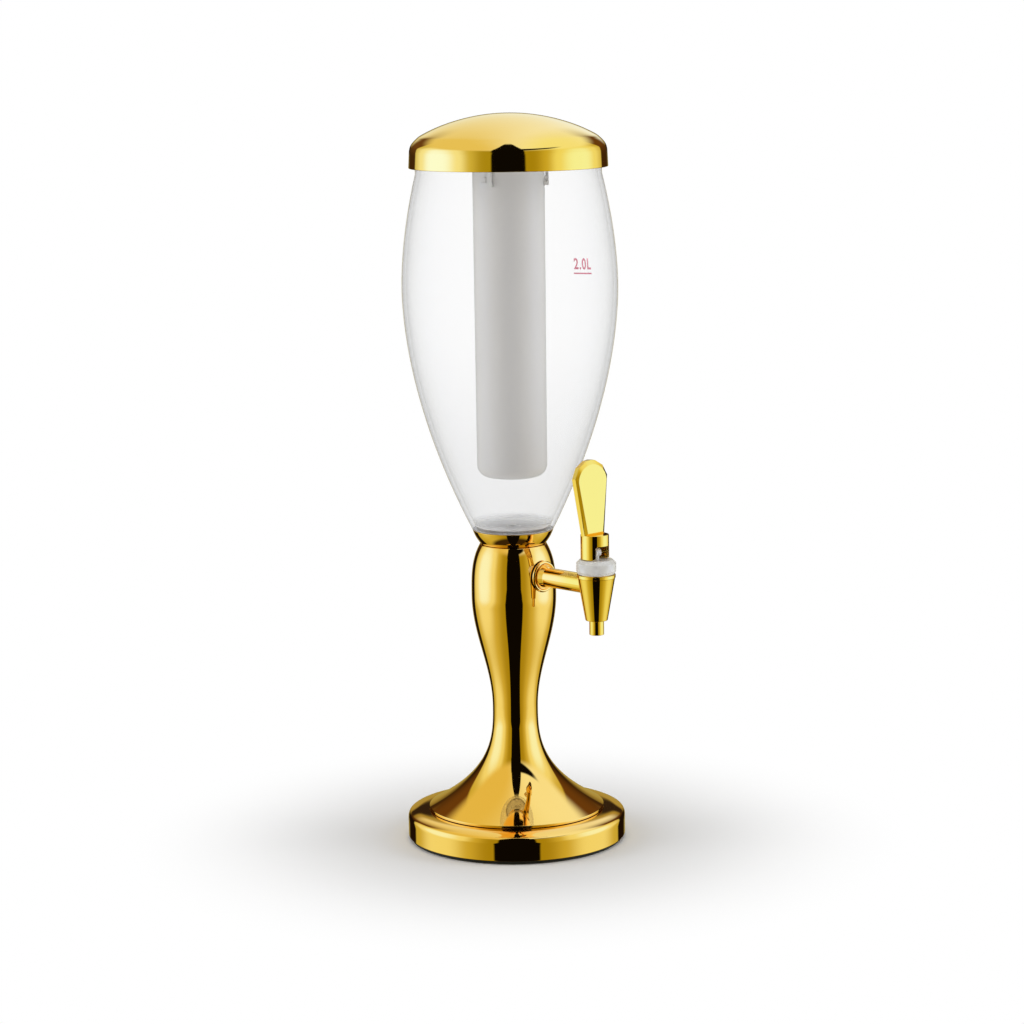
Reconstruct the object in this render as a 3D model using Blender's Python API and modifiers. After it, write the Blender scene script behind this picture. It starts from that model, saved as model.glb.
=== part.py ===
"""Beer tower dispenser: a clear container on a turned gold column, with an ice tube and a lift-stem tap.

Run in Blender 4.5. Metres, +Z up. The origin is the centre of the base's underside, on the column's
axis, and the tap points along -Y.
"""

import math

import bmesh
import bpy
from mathutils import Matrix, Vector

MM = 0.001

# fits and facets
FIT = 0.3 * MM                # gap between two pieces that touch or slide on each other
PIN_FIT = 0.2 * MM            # gap round a pin, a screw or a tube in its hole
WELD = 0.001 * MM             # points nearer than this are one point
OVERRUN = 2.0 * MM            # how far a cutter runs past the face that it cuts
SINK = 1.0 * MM               # how far a boss or a stub starts inside the wall that it grows from
BIG_STEPS = 32                # facets round the container, the lid and the base
COLUMN_FACETS = 24
MID_STEPS = 20
SMALL_STEPS = 16
SCREW_STEPS = 8
PILOT_STEPS = 10
PIN_STEPS = 12
TUBE_STEPS = 20
SHARP = math.radians(32.0)    # edges steeper than this stay sharp

# foot: anti-slip pad, cover, weight, shell
PAD_THICK = 2.0 * MM
PAD_INSET = 1.8 * MM          # how far the pad stays inside the shell's edge
BASE_R = 68.6 * MM
BASE_TOP_Z = 19.1 * MM
BASE_WALL = 2.5 * MM
BASE_HOLE_R = 12.0 * MM
COVER_THICK = 3.2 * MM
COVER_RING_R = 13.4 * MM
COVER_RING_H = 4.0 * MM
COVER_RING_WALL = 2.0 * MM
WEIGHT_GAP = 4.4 * MM         # weight to the cover screws' bosses
WEIGHT_H = 6.6 * MM
WEIGHT_EDGE = 1.2 * MM
COVER_SCREWS = 4
COVER_SCREW_EDGE = 10.6 * MM  # cover screws in from the foot's edge
COVER_BOSS_R = 3.6 * MM
COLUMN_SCREWS = 4
COLUMN_SCREW_EDGE = 16.1 * MM # column screws in from the flare's edge
COLUMN_BOSS_R = 3.2 * MM
# the shell's outer corner, from the wall up over the rounded edge to the top, as shares of its
# radius and of its height
BASE_EDGE_SHARES = ((0.805, 0.997), (0.900, 0.970), (0.968, 0.905), (0.991, 0.850), (1.000, 0.765))

# self-tapping screws
SCREW_R = 1.5 * MM
SCREW_HEAD_R = 2.8 * MM
SCREW_HEAD_H = 1.7 * MM
SCREW_CROWN_R = 2.0 * MM
SCREW_LENGTH = 8.6 * MM
SCREW_TIP = 1.2 * MM

# column
COLUMN_WALL = 2.5 * MM
FLARE_INSET = 13.5 * MM       # the foot's shelf round the column
FLARE_LIP = 1.5 * MM
FLARE_LAND = 5.0 * MM         # width of the flat ring that stands on the base
FLARE_CURVE = 2.85            # exponent of the flared foot
WAIST_R = 14.2 * MM
WAIST_Z = 84.0 * MM
BELLY_R = 26.5 * MM
BELLY_Z = 156.0 * MM
COLUMN_TOP_R = 20.8 * MM
COLUMN_TOP_Z = 188.4 * MM
COLUMN_TOP_CURVE = 3.2        # exponent of the drawn-in top
COLUMN_TOP_STEPS = 5          # points along each stretch of the profile
COLUMN_MID_STEPS = 7
FLARE_STEPS = 8
SHELF_THICK = 2.4 * MM

# collar cup between column and container
CUP_NECK_R = 20.4 * MM
CUP_RIM_R = 25.3 * MM
CUP_H = 8.8 * MM
CUP_WALL = 1.9 * MM
CUP_BULGE = 0.5 * MM
CUP_STEPS = 3

# container
TANK_WALL = 2.6 * MM          # wall of the clear container
TANK_BELLY_R = 66.7 * MM
TANK_BELLY_Z = 349.0 * MM
TANK_FOOT_R = 25.4 * MM
TANK_SHOULDER_R = 57.3 * MM
TANK_SHOULDER_Z = 418.0 * MM
TANK_LOW_CURVE = 1.83        # exponents of the two halves of its side
TANK_HIGH_CURVE = 1.8
TANK_MOUTH_R = 57.0 * MM
TANK_MOUTH_Z = 429.6 * MM
TANK_FLOOR_RISE = 1.5 * MM    # inside floor above the foot's step
TANK_FILLET = 3.0 * MM
TANK_FILLET_SHARE = 0.3       # middle of the floor's corner, as a share of its size
TANK_HIGH_STEPS = 5
TANK_LOW_STEPS = 10
SPIGOT_R = 9.7 * MM
SPIGOT_BORE_R = 4.2 * MM
SPIGOT_END_Z = 178.0 * MM
NIPPLE_R = 6.0 * MM
NIPPLE_LENGTH = 5.0 * MM
GASKET_THICK = 1.5 * MM
GASKET_WIDTH = 4.0 * MM
RING_NUT_R = 17.0 * MM
RING_NUT_H = 5.2 * MM

# lid
LID_R = 61.2 * MM
LID_RIM_Z = 422.0 * MM
LID_TOP_Z = 455.0 * MM
LID_WALL = 1.8 * MM
# outer form from the centre of the dome to the rim, as shares of the lid's radius and height
LID_SHARES = ((0.0, 1.0), (0.17, 0.986), (0.33, 0.946), (0.48, 0.885), (0.62, 0.807), (0.75, 0.713),
              (0.873, 0.600), (0.921, 0.533), (0.957, 0.464), (0.980, 0.397), (0.991, 0.318), (1.0, 0.0))
SEAL_THICK = 1.2 * MM
LINER_THICK = 2.0 * MM
LINER_FLANGE_R = 57.9 * MM
PLUG_DEPTH = 9.2 * MM        # plug skirt inside the container's mouth
PLUG_WALL = 2.0 * MM
LID_SCREWS = 3
LID_SCREW_RING_R = 34.0 * MM
LID_SCREW_TURN = math.radians(30.0)
LID_BOSS_R = 3.2 * MM

# ice tube and its bayonet
ICE_R = 22.2 * MM
ICE_FOOT_R = 21.8 * MM
ICE_WALL = 2.0 * MM
ICE_FOOT_Z = 230.7 * MM
ICE_TOP_Z = 428.6 * MM
ICE_CORNER_R = 7.5 * MM
CORNER_STEPS = 4
HOOKS = 3
HOOK_TURN = math.radians(192.0)      # direction of the first hook's leg
HOOK_WALL = 2.2 * MM
HOOK_DRAFT = 0.2 * MM               # the leg is this much thinner on each side than the foot
HOOK_LEG = math.radians(8.0)
HOOK_FOOT = math.radians(13.0)
HOOK_FOOT_H = 2.7 * MM
HOOK_FOOT_Z = 411.0 * MM             # underside of the hooks' feet
LUG = math.radians(7.0)
LUG_H = 2.6 * MM
LUG_GAP = math.radians(1.5)          # lug to leg, at rest
ARC_STEPS = 4

# outlet inside the column
ELBOW_R = 8.4 * MM
ELBOW_TOP_Z = 177.6 * MM
ELBOW_LOW_Z = 161.6 * MM
ELBOW_BORE_R = 4.2 * MM
ELBOW_BORE_LOW_Z = 165.2 * MM
ELBOW_STUB_R = 7.3 * MM
ELBOW_STUB_REACH = 14.4 * MM
FACE_SEAL = 1.5 * MM

# tap
TAP_REACH = 71.1 * MM         # column's axis to the tap's axis
ARM_Z = 170.3 * MM
ARM_R = 6.0 * MM
ARM_BORE_R = 3.2 * MM
ARM_ROOT_R = 7.3 * MM
ARM_ROOT_LENGTH = 4.0 * MM
SHANK_END = 10.9 * MM         # its inner end, from the column's axis
BOSS_R = 9.9 * MM
BOSS_FACE = 24.6 * MM         # spot-faced flat on the column, from the axis
BOSS_BACK = 20.6 * MM
WASHER_R = 9.2 * MM
WASHER_THICK = 0.7 * MM
ROSETTE_R = 9.7 * MM
ROSETTE_THICK = 1.6 * MM
ROSETTE_EDGE = 0.6 * MM
ROSETTE_DISH = 0.8 * MM
SHANK_WASHER_THICK = 1.2 * MM
SHANK_WASHER_R = 8.6 * MM
SHANK_NUT_R = 8.5 * MM
SHANK_NUT_H = 4.0 * MM
BODY_TOP_Z = 177.5 * MM
BODY_TOP_R = 11.85 * MM
BODY_BAND_H = 2.0 * MM
BODY_BAND_STEP = 0.3 * MM
BODY_LOW_Z = 148.9 * MM
BODY_LOW_R = 6.8 * MM
NOZZLE_R = 4.5 * MM
NOZZLE_BORE_R = 3.2 * MM
NOZZLE_LOW_Z = 139.9 * MM
CHAMBER_R = 8.2 * MM
SEAT_DROP = 7.3 * MM          # top of the seat's cone below the arm's axis
SEAT_H = 5.4 * MM
NECK_R = 10.2 * MM
NECK_TOP_Z = 181.0 * MM
BONNET_R = 12.2 * MM
BONNET_TOP_Z = 186.6 * MM
BONNET_ROOF = 1.9 * MM
BONNET_CHAMFER = 2.1 * MM
BONNET_TAPER = 1.0 * MM       # of its lower edge
BONNET_CHAMBER_R = 7.3 * MM
CUP_SEAL_RIM = 1.1 * MM       # clamped rim of the rubber seat cup
CUP_SEAL_WALL = 1.0 * MM
CUP_SEAL_LOW_R = 3.4 * MM
CUP_SEAL_WIDE_R = 5.9 * MM
CUP_SEAL_SHOULDER = 1.4 * MM  # its shoulder above the seat's cone
CUP_SEAL_FLOOR = 1.8 * MM

# stem, spring and handle
STEM_R = 1.9 * MM
STEM_FOOT_R = 2.1 * MM
STEM_FLANGE_R = 5.0 * MM
STEM_FLANGE_H = 1.5 * MM
STEM_FLANGE_Z = 167.0 * MM
EYE_R = 2.7 * MM
EYE_HALF = 2.2 * MM
PIN_R = 1.1 * MM
PIN_HALF = 7.0 * MM
SPRING_R = 4.0 * MM           # to the middle of its wire
SPRING_WIRE_R = 0.4 * MM
SPRING_TURNS = 6
SPRING_POINTS = 8             # points a turn
FOOT_R = 8.7 * MM
FOOT_BACK = 1.0 * MM          # its centre behind the pin
FOOT_H = 15.1 * MM
PIN_RISE = 4.0 * MM           # pin above the foot's flat underside
CAM_RISE = 2.1 * MM           # lift of the stem for each radian of tilt
CAM_TILT = math.radians(52.0) # the cam's curve runs a little past the handle's range
CAM_STEPS = 8
SLOT_HALF = 6.0 * MM
SLOT_H = 8.5 * MM
SLOT_BACK = 3.3 * MM
PADDLE_H = 45.3 * MM
PADDLE_HALF = 14.0 * MM
PADDLE_THICK = 4.8 * MM
PADDLE_BACK = 2.5 * MM        # middle of the paddle's root behind the pin
PADDLE_LEAN = math.radians(3.5)
PADDLE_ROOT = 0.6 * MM        # sunk into the foot
PADDLE_BEVEL = 0.8 * MM
# right half of the paddle's outline from its root to its crown, as shares of its half width and height
PADDLE_SHARES = ((0.616, 0.0), (1.0, 0.772), (0.740, 0.912), (0.280, 0.990), (0.0, 1.0))

# values that follow from the ones above
SHELL_LOW_Z = PAD_THICK + FIT
FLARE_R = BASE_R - FLARE_INSET
COVER_SCREW_RING_R = BASE_R - COVER_SCREW_EDGE
COLUMN_SCREW_RING_R = FLARE_R - COLUMN_SCREW_EDGE
WEIGHT_R = COVER_SCREW_RING_R - COVER_BOSS_R - WEIGHT_GAP
COVER_TOP_Z = SHELL_LOW_Z + COVER_THICK
PLATE_LOW_Z = BASE_TOP_Z - BASE_WALL
FLARE_LOW_Z = BASE_TOP_Z + FIT
FLARE_TOP_Z = FLARE_LOW_Z + FLARE_LIP
CUP_LOW_Z = COLUMN_TOP_Z + FIT
CUP_RIM_Z = CUP_LOW_Z + CUP_H
CUP_FLOOR_Z = CUP_LOW_Z + CUP_WALL
GASKET_Z = CUP_FLOOR_Z + FIT
SPIGOT_ROOT_Z = GASKET_Z + GASKET_THICK + FIT
TANK_FOOT_Z = CUP_RIM_Z + FIT
TANK_FLOOR_Z = TANK_FOOT_Z + TANK_FLOOR_RISE
SHELF_LOW_Z = COLUMN_TOP_Z - SHELF_THICK
NIPPLE_LOW_Z = SPIGOT_END_Z - NIPPLE_LENGTH
TANK_MOUTH_BORE_R = TANK_MOUTH_R - TANK_WALL
SEAL_Z = TANK_MOUTH_Z + FIT
LINER_Z = SEAL_Z + SEAL_THICK + FIT
LINER_TOP_Z = LINER_Z + LINER_THICK
PLUG_R = TANK_MOUTH_BORE_R - FIT
HOOK_INNER_R = ICE_R + FIT
HOOK_OUTER_R = HOOK_INNER_R + HOOK_WALL
LUG_Z = HOOK_FOOT_Z + HOOK_FOOT_H + FIT
PIN_Z = BONNET_TOP_Z + FIT + PIN_RISE
SEAT_HIGH_Z = ARM_Z - SEAT_DROP
SEAT_LOW_Z = SEAT_HIGH_Z - SEAT_H
CUP_SEAL_SHOULDER_Z = SEAT_HIGH_Z + CUP_SEAL_SHOULDER
FULL_TURN = 2.0 * math.pi


def clean_scene():
    for obj in list(bpy.data.objects):
        bpy.data.objects.remove(obj, do_unlink=True)


def new_collection(name):
    collection = bpy.data.collections.new(name)
    bpy.context.scene.collection.children.link(collection)
    return collection


def paint(name, colour, roughness, metallic=0.0, alpha=1.0):
    material = bpy.data.materials.new(name)
    material.use_nodes = True
    shader = material.node_tree.nodes["Principled BSDF"]
    shader.inputs["Base Color"].default_value = (*colour, 1.0)
    shader.inputs["Roughness"].default_value = roughness
    shader.inputs["Metallic"].default_value = metallic
    shader.inputs["Alpha"].default_value = alpha
    material.diffuse_color = (*colour, alpha)
    return material


clean_scene()
PARTS = new_collection("beer_tower_dispenser")
CUTTERS = new_collection("cutters")

GOLD = paint("gold_plated_plastic", (0.78, 0.50, 0.12), 0.08, 1.0)
CLEAR = paint("clear_plastic", (0.95, 0.96, 0.97), 0.03, 0.0, 0.25)
FROST = paint("frosted_plastic", (0.80, 0.80, 0.79), 0.45, 0.0, 0.6)
WHITE = paint("white_plastic", (0.85, 0.84, 0.82), 0.4)
BLACK = paint("black_plastic", (0.02, 0.02, 0.02), 0.5)
RUBBER = paint("black_rubber", (0.015, 0.015, 0.015), 0.8)
SILICONE = paint("silicone", (0.75, 0.75, 0.73), 0.6)
STEEL = paint("steel", (0.55, 0.55, 0.56), 0.25, 1.0)
IRON = paint("cast_iron", (0.12, 0.12, 0.12), 0.7, 1.0)


def new_object(name, mesh, material=None):
    """A part in its material, or without one a cutter, which isn't drawn."""
    obj = bpy.data.objects.new(name, mesh)
    if material:
        mesh.materials.append(material)
        PARTS.objects.link(obj)
    else:
        CUTTERS.objects.link(obj)
        obj.hide_render = True
        obj.display_type = "WIRE"
    return obj


def turned(name, profile, material=None, steps=MID_STEPS):
    """A solid of revolution about Z. The profile runs over the top and down the outer side, and is
    closed by its own last edge unless both ends lie on the axis."""
    points = [(radius, 0.0, height) for radius, height in profile]
    edges = [(i, i + 1) for i in range(len(points) - 1)]
    if profile[0][0] > WELD or profile[-1][0] > WELD:
        edges.append((len(points) - 1, 0))
    mesh = bpy.data.meshes.new(name)
    mesh.from_pydata(points, edges, [])
    obj = new_object(name, mesh, material)
    screw = obj.modifiers.new("turn", "SCREW")
    screw.steps = screw.render_steps = steps
    screw.use_merge_vertices = True
    screw.merge_threshold = WELD
    return obj


def ring(name, inner, outer, low, high, material=None, steps=MID_STEPS):
    return turned(name, [(inner, high), (outer, high), (outer, low), (inner, low)], material, steps)


def rod(name, radius, length, material=None, steps=SMALL_STEPS, end_radius=None):
    """A cylinder or cone along Z, from the origin up."""
    mesh = bpy.data.meshes.new(name)
    bm = bmesh.new()
    bmesh.ops.create_cone(bm, cap_ends=True, segments=steps, radius1=radius,
                          radius2=radius if end_radius is None else end_radius, depth=length,
                          matrix=Matrix.Translation((0.0, 0.0, length / 2)))
    bm.to_mesh(mesh)
    bm.free()
    return new_object(name, mesh, material)


def block(name, low, high, material=None):
    """A box between two corners."""
    low, high = Vector(low), Vector(high)
    mesh = bpy.data.meshes.new(name)
    bm = bmesh.new()
    bmesh.ops.create_cube(bm, size=1.0, matrix=Matrix.Translation((low + high) / 2)
                          @ Matrix.Diagonal((*(high - low), 1.0)))
    bm.to_mesh(mesh)
    bm.free()
    return new_object(name, mesh, material)


def meshed(source, name, material=None):
    """Turn a curve object into a mesh object with welded caps, in the same place."""
    bpy.context.view_layer.update()
    mesh = bpy.data.meshes.new_from_object(source.evaluated_get(bpy.context.evaluated_depsgraph_get()))
    bm = bmesh.new()
    bm.from_mesh(mesh)
    bmesh.ops.remove_doubles(bm, verts=bm.verts, dist=WELD)
    bmesh.ops.recalc_face_normals(bm, faces=bm.faces)
    bm.to_mesh(mesh)
    bm.free()
    mesh.materials.clear()
    mesh.name = name
    obj = new_object(name, mesh, material)
    obj.matrix_world = source.matrix_world.copy()
    bpy.data.objects.remove(source, do_unlink=True)
    return obj


def plate(name, outline, thickness, material=None):
    """A flat outline in its own XY plane, thickened evenly to both sides of it."""
    curve = bpy.data.curves.new(name, "CURVE")
    curve.dimensions = "2D"
    curve.fill_mode = "BOTH"
    curve.extrude = thickness / 2
    curve.render_resolution_u = 0
    spline = curve.splines.new("POLY")
    spline.points.add(len(outline) - 1)
    for point, (x, y) in zip(spline.points, outline):
        point.co = (x, y, 0.0, 1.0)
    spline.use_cyclic_u = True
    flat = bpy.data.objects.new(name + "_outline", curve)
    CUTTERS.objects.link(flat)
    return meshed(flat, name, material)


def along_y(obj, place):
    """Lay a piece that was made along +Z on -Y, with its origin at the place."""
    obj.rotation_euler = (math.pi / 2, 0.0, 0.0)
    obj.location = place
    return obj


def along_x(obj, place):
    """Lay a piece that was made along +Z on +X, with its origin at the place."""
    obj.rotation_euler = (0.0, math.pi / 2, 0.0)
    obj.location = place
    return obj


def axis_point(name, place):
    """An empty on a joint's axis, which carries the pieces that move with it."""
    empty = bpy.data.objects.new(name, None)
    empty.location = place
    PARTS.objects.link(empty)
    return empty


def hang(objects, carrier):
    """Parent pieces to an empty, without moving them."""
    bpy.context.view_layer.update()
    for obj in objects:
        world = obj.matrix_world.copy()
        obj.parent = carrier
        obj.matrix_parent_inverse = carrier.matrix_world.inverted()
        obj.matrix_world = world


def cut(obj, cutter, operation="DIFFERENCE"):
    boolean = obj.modifiers.new(cutter.name, "BOOLEAN")
    boolean.operation = operation
    boolean.object = cutter
    return obj


def join(obj, addition):
    return cut(obj, addition, "UNION")


def on_ring(count, radius, first=0.0):
    """Places spaced evenly on a circle, as angle, x and y."""
    for i in range(count):
        angle = first + i * FULL_TURN / count
        yield angle, radius * math.cos(angle), radius * math.sin(angle)


def inset(profile, wall):
    """The profile moved in by the wall, square to itself at each point. It runs down the outer side."""
    points = [Vector(point) for point in profile]
    moved = []
    for i, point in enumerate(points):
        run = points[min(i + 1, len(points) - 1)] - points[max(i - 1, 0)]
        inward = Vector((run.y, -run.x)).normalized()
        moved.append((max(point.x + inward.x * wall, 0.0), point.y + inward.y * wall))
    return moved


def height_at(profile, radius):
    """Height of a profile at a radius, where it runs outward."""
    for (r1, z1), (r2, z2) in zip(profile, profile[1:]):
        if r1 <= radius <= r2:
            return z1 + (z2 - z1) * (radius - r1) / (r2 - r1)
    return profile[-1][1]


def arc_block(name, inner, outer, low, high, start, width, material=None):
    """A short piece of a ring wall."""
    angles = [start + width * i / ARC_STEPS for i in range(ARC_STEPS + 1)]
    outline = [(outer * math.cos(a), outer * math.sin(a)) for a in angles]
    outline += [(inner * math.cos(a), inner * math.sin(a)) for a in reversed(angles)]
    piece = plate(name, outline, high - low, material)
    piece.location.z = (low + high) / 2
    return piece


def screw(name, x, y, seat_z):
    """A pan-head screw that points up, with the underside of its head's rim at seat_z."""
    profile = [(0.0, SCREW_LENGTH), (SCREW_R / 2, SCREW_LENGTH), (SCREW_R, SCREW_LENGTH - SCREW_TIP),
               (SCREW_R, 0.0), (SCREW_HEAD_R, 0.0), (SCREW_HEAD_R, -SCREW_HEAD_H / 2),
               (SCREW_CROWN_R, -SCREW_HEAD_H), (0.0, -SCREW_HEAD_H)]
    obj = turned(name, profile, STEEL, SCREW_STEPS)
    obj.location = (x, y, seat_z)
    return obj


def screw_boss(host, tag, x, y, low, high, radius):
    """A boss on the host with a blind hole for a screw, open at its lower end."""
    boss = rod("boss_" + tag, radius, high - low)
    boss.location = (x, y, low)
    join(host, boss)
    hole = rod("pilot_" + tag, SCREW_R + PIN_FIT, high - low - SINK + OVERRUN, steps=PILOT_STEPS)
    hole.location = (x, y, low - OVERRUN)
    return hole


def build_foot():
    edge = BASE_R - PAD_INSET
    turned("foot_pad", [(0.0, PAD_THICK), (edge, PAD_THICK), (edge, 0.0), (0.0, 0.0)], RUBBER, BIG_STEPS)

    cover_r = BASE_R - BASE_WALL - FIT
    ring_top = COVER_TOP_Z + COVER_RING_H
    cover = turned("bottom_cover", [
        (0.0, COVER_TOP_Z), (COVER_RING_R - COVER_RING_WALL, COVER_TOP_Z),
        (COVER_RING_R - COVER_RING_WALL, ring_top), (COVER_RING_R, ring_top), (COVER_RING_R, COVER_TOP_Z),
        (cover_r, COVER_TOP_Z), (cover_r, SHELL_LOW_Z), (0.0, SHELL_LOW_Z)], BLACK, BIG_STEPS)

    weight_low = COVER_TOP_Z + FIT
    weight_top = weight_low + WEIGHT_H
    weight_hole = COVER_RING_R + FIT
    turned("base_weight", [
        (weight_hole, weight_top), (WEIGHT_R - WEIGHT_EDGE, weight_top),
        (WEIGHT_R, weight_top - WEIGHT_EDGE), (WEIGHT_R, weight_low + WEIGHT_EDGE),
        (WEIGHT_R - WEIGHT_EDGE, weight_low), (weight_hole, weight_low)], IRON)

    outer = [(BASE_HOLE_R, BASE_TOP_Z)]
    outer += [(BASE_R * across, BASE_TOP_Z * up) for across, up in BASE_EDGE_SHARES]
    outer.append((BASE_R, SHELL_LOW_Z))
    inner = inset(outer, BASE_WALL)
    inner[0], inner[-1] = (BASE_HOLE_R, PLATE_LOW_Z), (BASE_R - BASE_WALL, SHELL_LOW_Z)
    shell = turned("base_shell", outer + inner[::-1], GOLD, BIG_STEPS)

    places = on_ring(COVER_SCREWS, COVER_SCREW_RING_R, FULL_TURN / COVER_SCREWS / 2)
    for i, (_, x, y) in enumerate(places):
        tag = f"cover_{i + 1}"
        cut(shell, screw_boss(shell, tag, x, y, COVER_TOP_Z + FIT, PLATE_LOW_Z + SINK, COVER_BOSS_R))
        seat = SHELL_LOW_Z + SCREW_HEAD_H
        head = rod("counterbore_" + tag, SCREW_HEAD_R + FIT, SCREW_HEAD_H + FIT + OVERRUN)
        head.location = (x, y, SHELL_LOW_Z - OVERRUN)
        hole = rod("hole_" + tag, SCREW_R + PIN_FIT, COVER_THICK + OVERRUN, steps=PILOT_STEPS)
        hole.location = (x, y, SHELL_LOW_Z)
        cut(cut(cover, head), hole)
        screw(f"cover_screw_{i + 1}", x, y, seat)

    for i, (_, x, y) in enumerate(on_ring(COLUMN_SCREWS, COLUMN_SCREW_RING_R)):
        hole = rod(f"hole_column_{i + 1}", SCREW_R + PIN_FIT, BASE_WALL + OVERRUN * 2, steps=PILOT_STEPS)
        hole.location = (x, y, PLATE_LOW_Z - OVERRUN)
        cut(shell, hole)
        screw(f"column_screw_{i + 1}", x, y, PLATE_LOW_Z - FIT)


def column_radius(z):
    """Outer radius: a flared foot, a waist, a swelling belly and a drawn-in top."""
    if z >= BELLY_Z:
        rise = (z - BELLY_Z) / (COLUMN_TOP_Z - BELLY_Z)
        return BELLY_R - (BELLY_R - COLUMN_TOP_R) * rise ** COLUMN_TOP_CURVE
    if z >= WAIST_Z:
        rise = (z - WAIST_Z) / (BELLY_Z - WAIST_Z)
        return WAIST_R + (BELLY_R - WAIST_R) * (1 - math.cos(math.pi * rise)) / 2
    fall = (WAIST_Z - z) / (WAIST_Z - FLARE_TOP_Z)
    return WAIST_R + (FLARE_R - WAIST_R) * fall ** FLARE_CURVE


def build_column():
    hole = SPIGOT_R + FIT
    top = [COLUMN_TOP_Z - (COLUMN_TOP_Z - BELLY_Z) * (i / COLUMN_TOP_STEPS) ** 2
           for i in range(COLUMN_TOP_STEPS)]
    middle = [BELLY_Z - (BELLY_Z - WAIST_Z) * i / COLUMN_MID_STEPS for i in range(COLUMN_MID_STEPS)]
    flare = [WAIST_Z - (WAIST_Z - FLARE_TOP_Z) * (i / FLARE_STEPS) ** (1 / math.sqrt(FLARE_CURVE))
             for i in range(FLARE_STEPS + 1)]
    wall = [(column_radius(z), z) for z in top + middle + flare]
    land = FLARE_R - FLARE_LAND
    inner = [(r, z) for r, z in inset(wall, COLUMN_WALL)
             if z < SHELF_LOW_Z - FIT and z > FLARE_LOW_Z + FIT and r < land - FIT]
    inner.insert(0, (column_radius(SHELF_LOW_Z) - COLUMN_WALL, SHELF_LOW_Z))
    profile = [(hole, COLUMN_TOP_Z)] + wall + [(FLARE_R, FLARE_LOW_Z), (land, FLARE_LOW_Z)]
    column = turned("column_shell", profile + inner[::-1] + [(hole, SHELF_LOW_Z)], GOLD, COLUMN_FACETS)

    boss_top = height_at(wall[-FLARE_STEPS:], COLUMN_SCREW_RING_R + COLUMN_BOSS_R) - FIT
    for i, (_, x, y) in enumerate(on_ring(COLUMN_SCREWS, COLUMN_SCREW_RING_R)):
        cut(column, screw_boss(column, f"column_{i + 1}", x, y, FLARE_LOW_Z, boss_top, COLUMN_BOSS_R))

    boss = along_y(rod("boss_tap", BOSS_R, BOSS_FACE - BOSS_BACK, steps=MID_STEPS), (0.0, -BOSS_BACK, ARM_Z))
    bore = along_y(rod("hole_tap", ARM_R + PIN_FIT, BOSS_FACE - BOSS_BACK + OVERRUN * 2),
                   (0.0, OVERRUN - BOSS_BACK, ARM_Z))
    seat = along_y(rod("seat_tap", BOSS_R, OVERRUN * 2, steps=MID_STEPS), (0.0, -BOSS_FACE, ARM_Z))
    cut(cut(join(column, boss), seat), bore)


def cup_radius(z):
    """Outer radius of the collar cup, a cone with a slight bulge."""
    fall = min(max((CUP_RIM_Z - z) / CUP_H, 0.0), 1.0)
    return CUP_RIM_R + (CUP_NECK_R - CUP_RIM_R) * fall + CUP_BULGE * math.sin(math.pi * fall)


def cup_inside(z, gap=0.0):
    slant = math.hypot(CUP_H, CUP_RIM_R - CUP_NECK_R) / CUP_H
    return cup_radius(z) - (CUP_WALL + gap) * slant


def build_collar():
    heights = [CUP_RIM_Z - CUP_H * i / CUP_STEPS for i in range(CUP_STEPS + 1)]
    outer = [(cup_radius(z), z) for z in heights]
    inner = [(cup_inside(z), z) for z in heights if z > CUP_FLOOR_Z + FIT]
    inner.append((cup_inside(CUP_FLOOR_Z), CUP_FLOOR_Z))
    hole = SPIGOT_R + FIT
    turned("collar_cup", outer + [(hole, CUP_LOW_Z), (hole, CUP_FLOOR_Z)] + inner[::-1], GOLD,
           BIG_STEPS)
    ring("container_gasket", hole, hole + GASKET_WIDTH, GASKET_Z, GASKET_Z + GASKET_THICK, SILICONE)

    nut_low = SHELF_LOW_Z - FIT - RING_NUT_H
    nut = rod("container_ring_nut", RING_NUT_R, RING_NUT_H, WHITE, steps=6)
    nut.location.z = nut_low
    bore = rod("bore_ring_nut", SPIGOT_R + PIN_FIT, RING_NUT_H + OVERRUN * 2, steps=MID_STEPS)
    bore.location.z = nut_low - OVERRUN
    cut(nut, bore)


def tank_radius(z):
    """Outer radius of the container: it swells to its belly and draws in again to the mouth."""
    if z >= TANK_BELLY_Z:
        rise = (z - TANK_BELLY_Z) / (TANK_SHOULDER_Z - TANK_BELLY_Z)
        return TANK_BELLY_R - (TANK_BELLY_R - TANK_SHOULDER_R) * rise ** TANK_HIGH_CURVE
    fall = (TANK_BELLY_Z - z) / (TANK_BELLY_Z - TANK_FOOT_Z)
    return TANK_BELLY_R - (TANK_BELLY_R - TANK_FOOT_R) * fall ** TANK_LOW_CURVE


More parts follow.
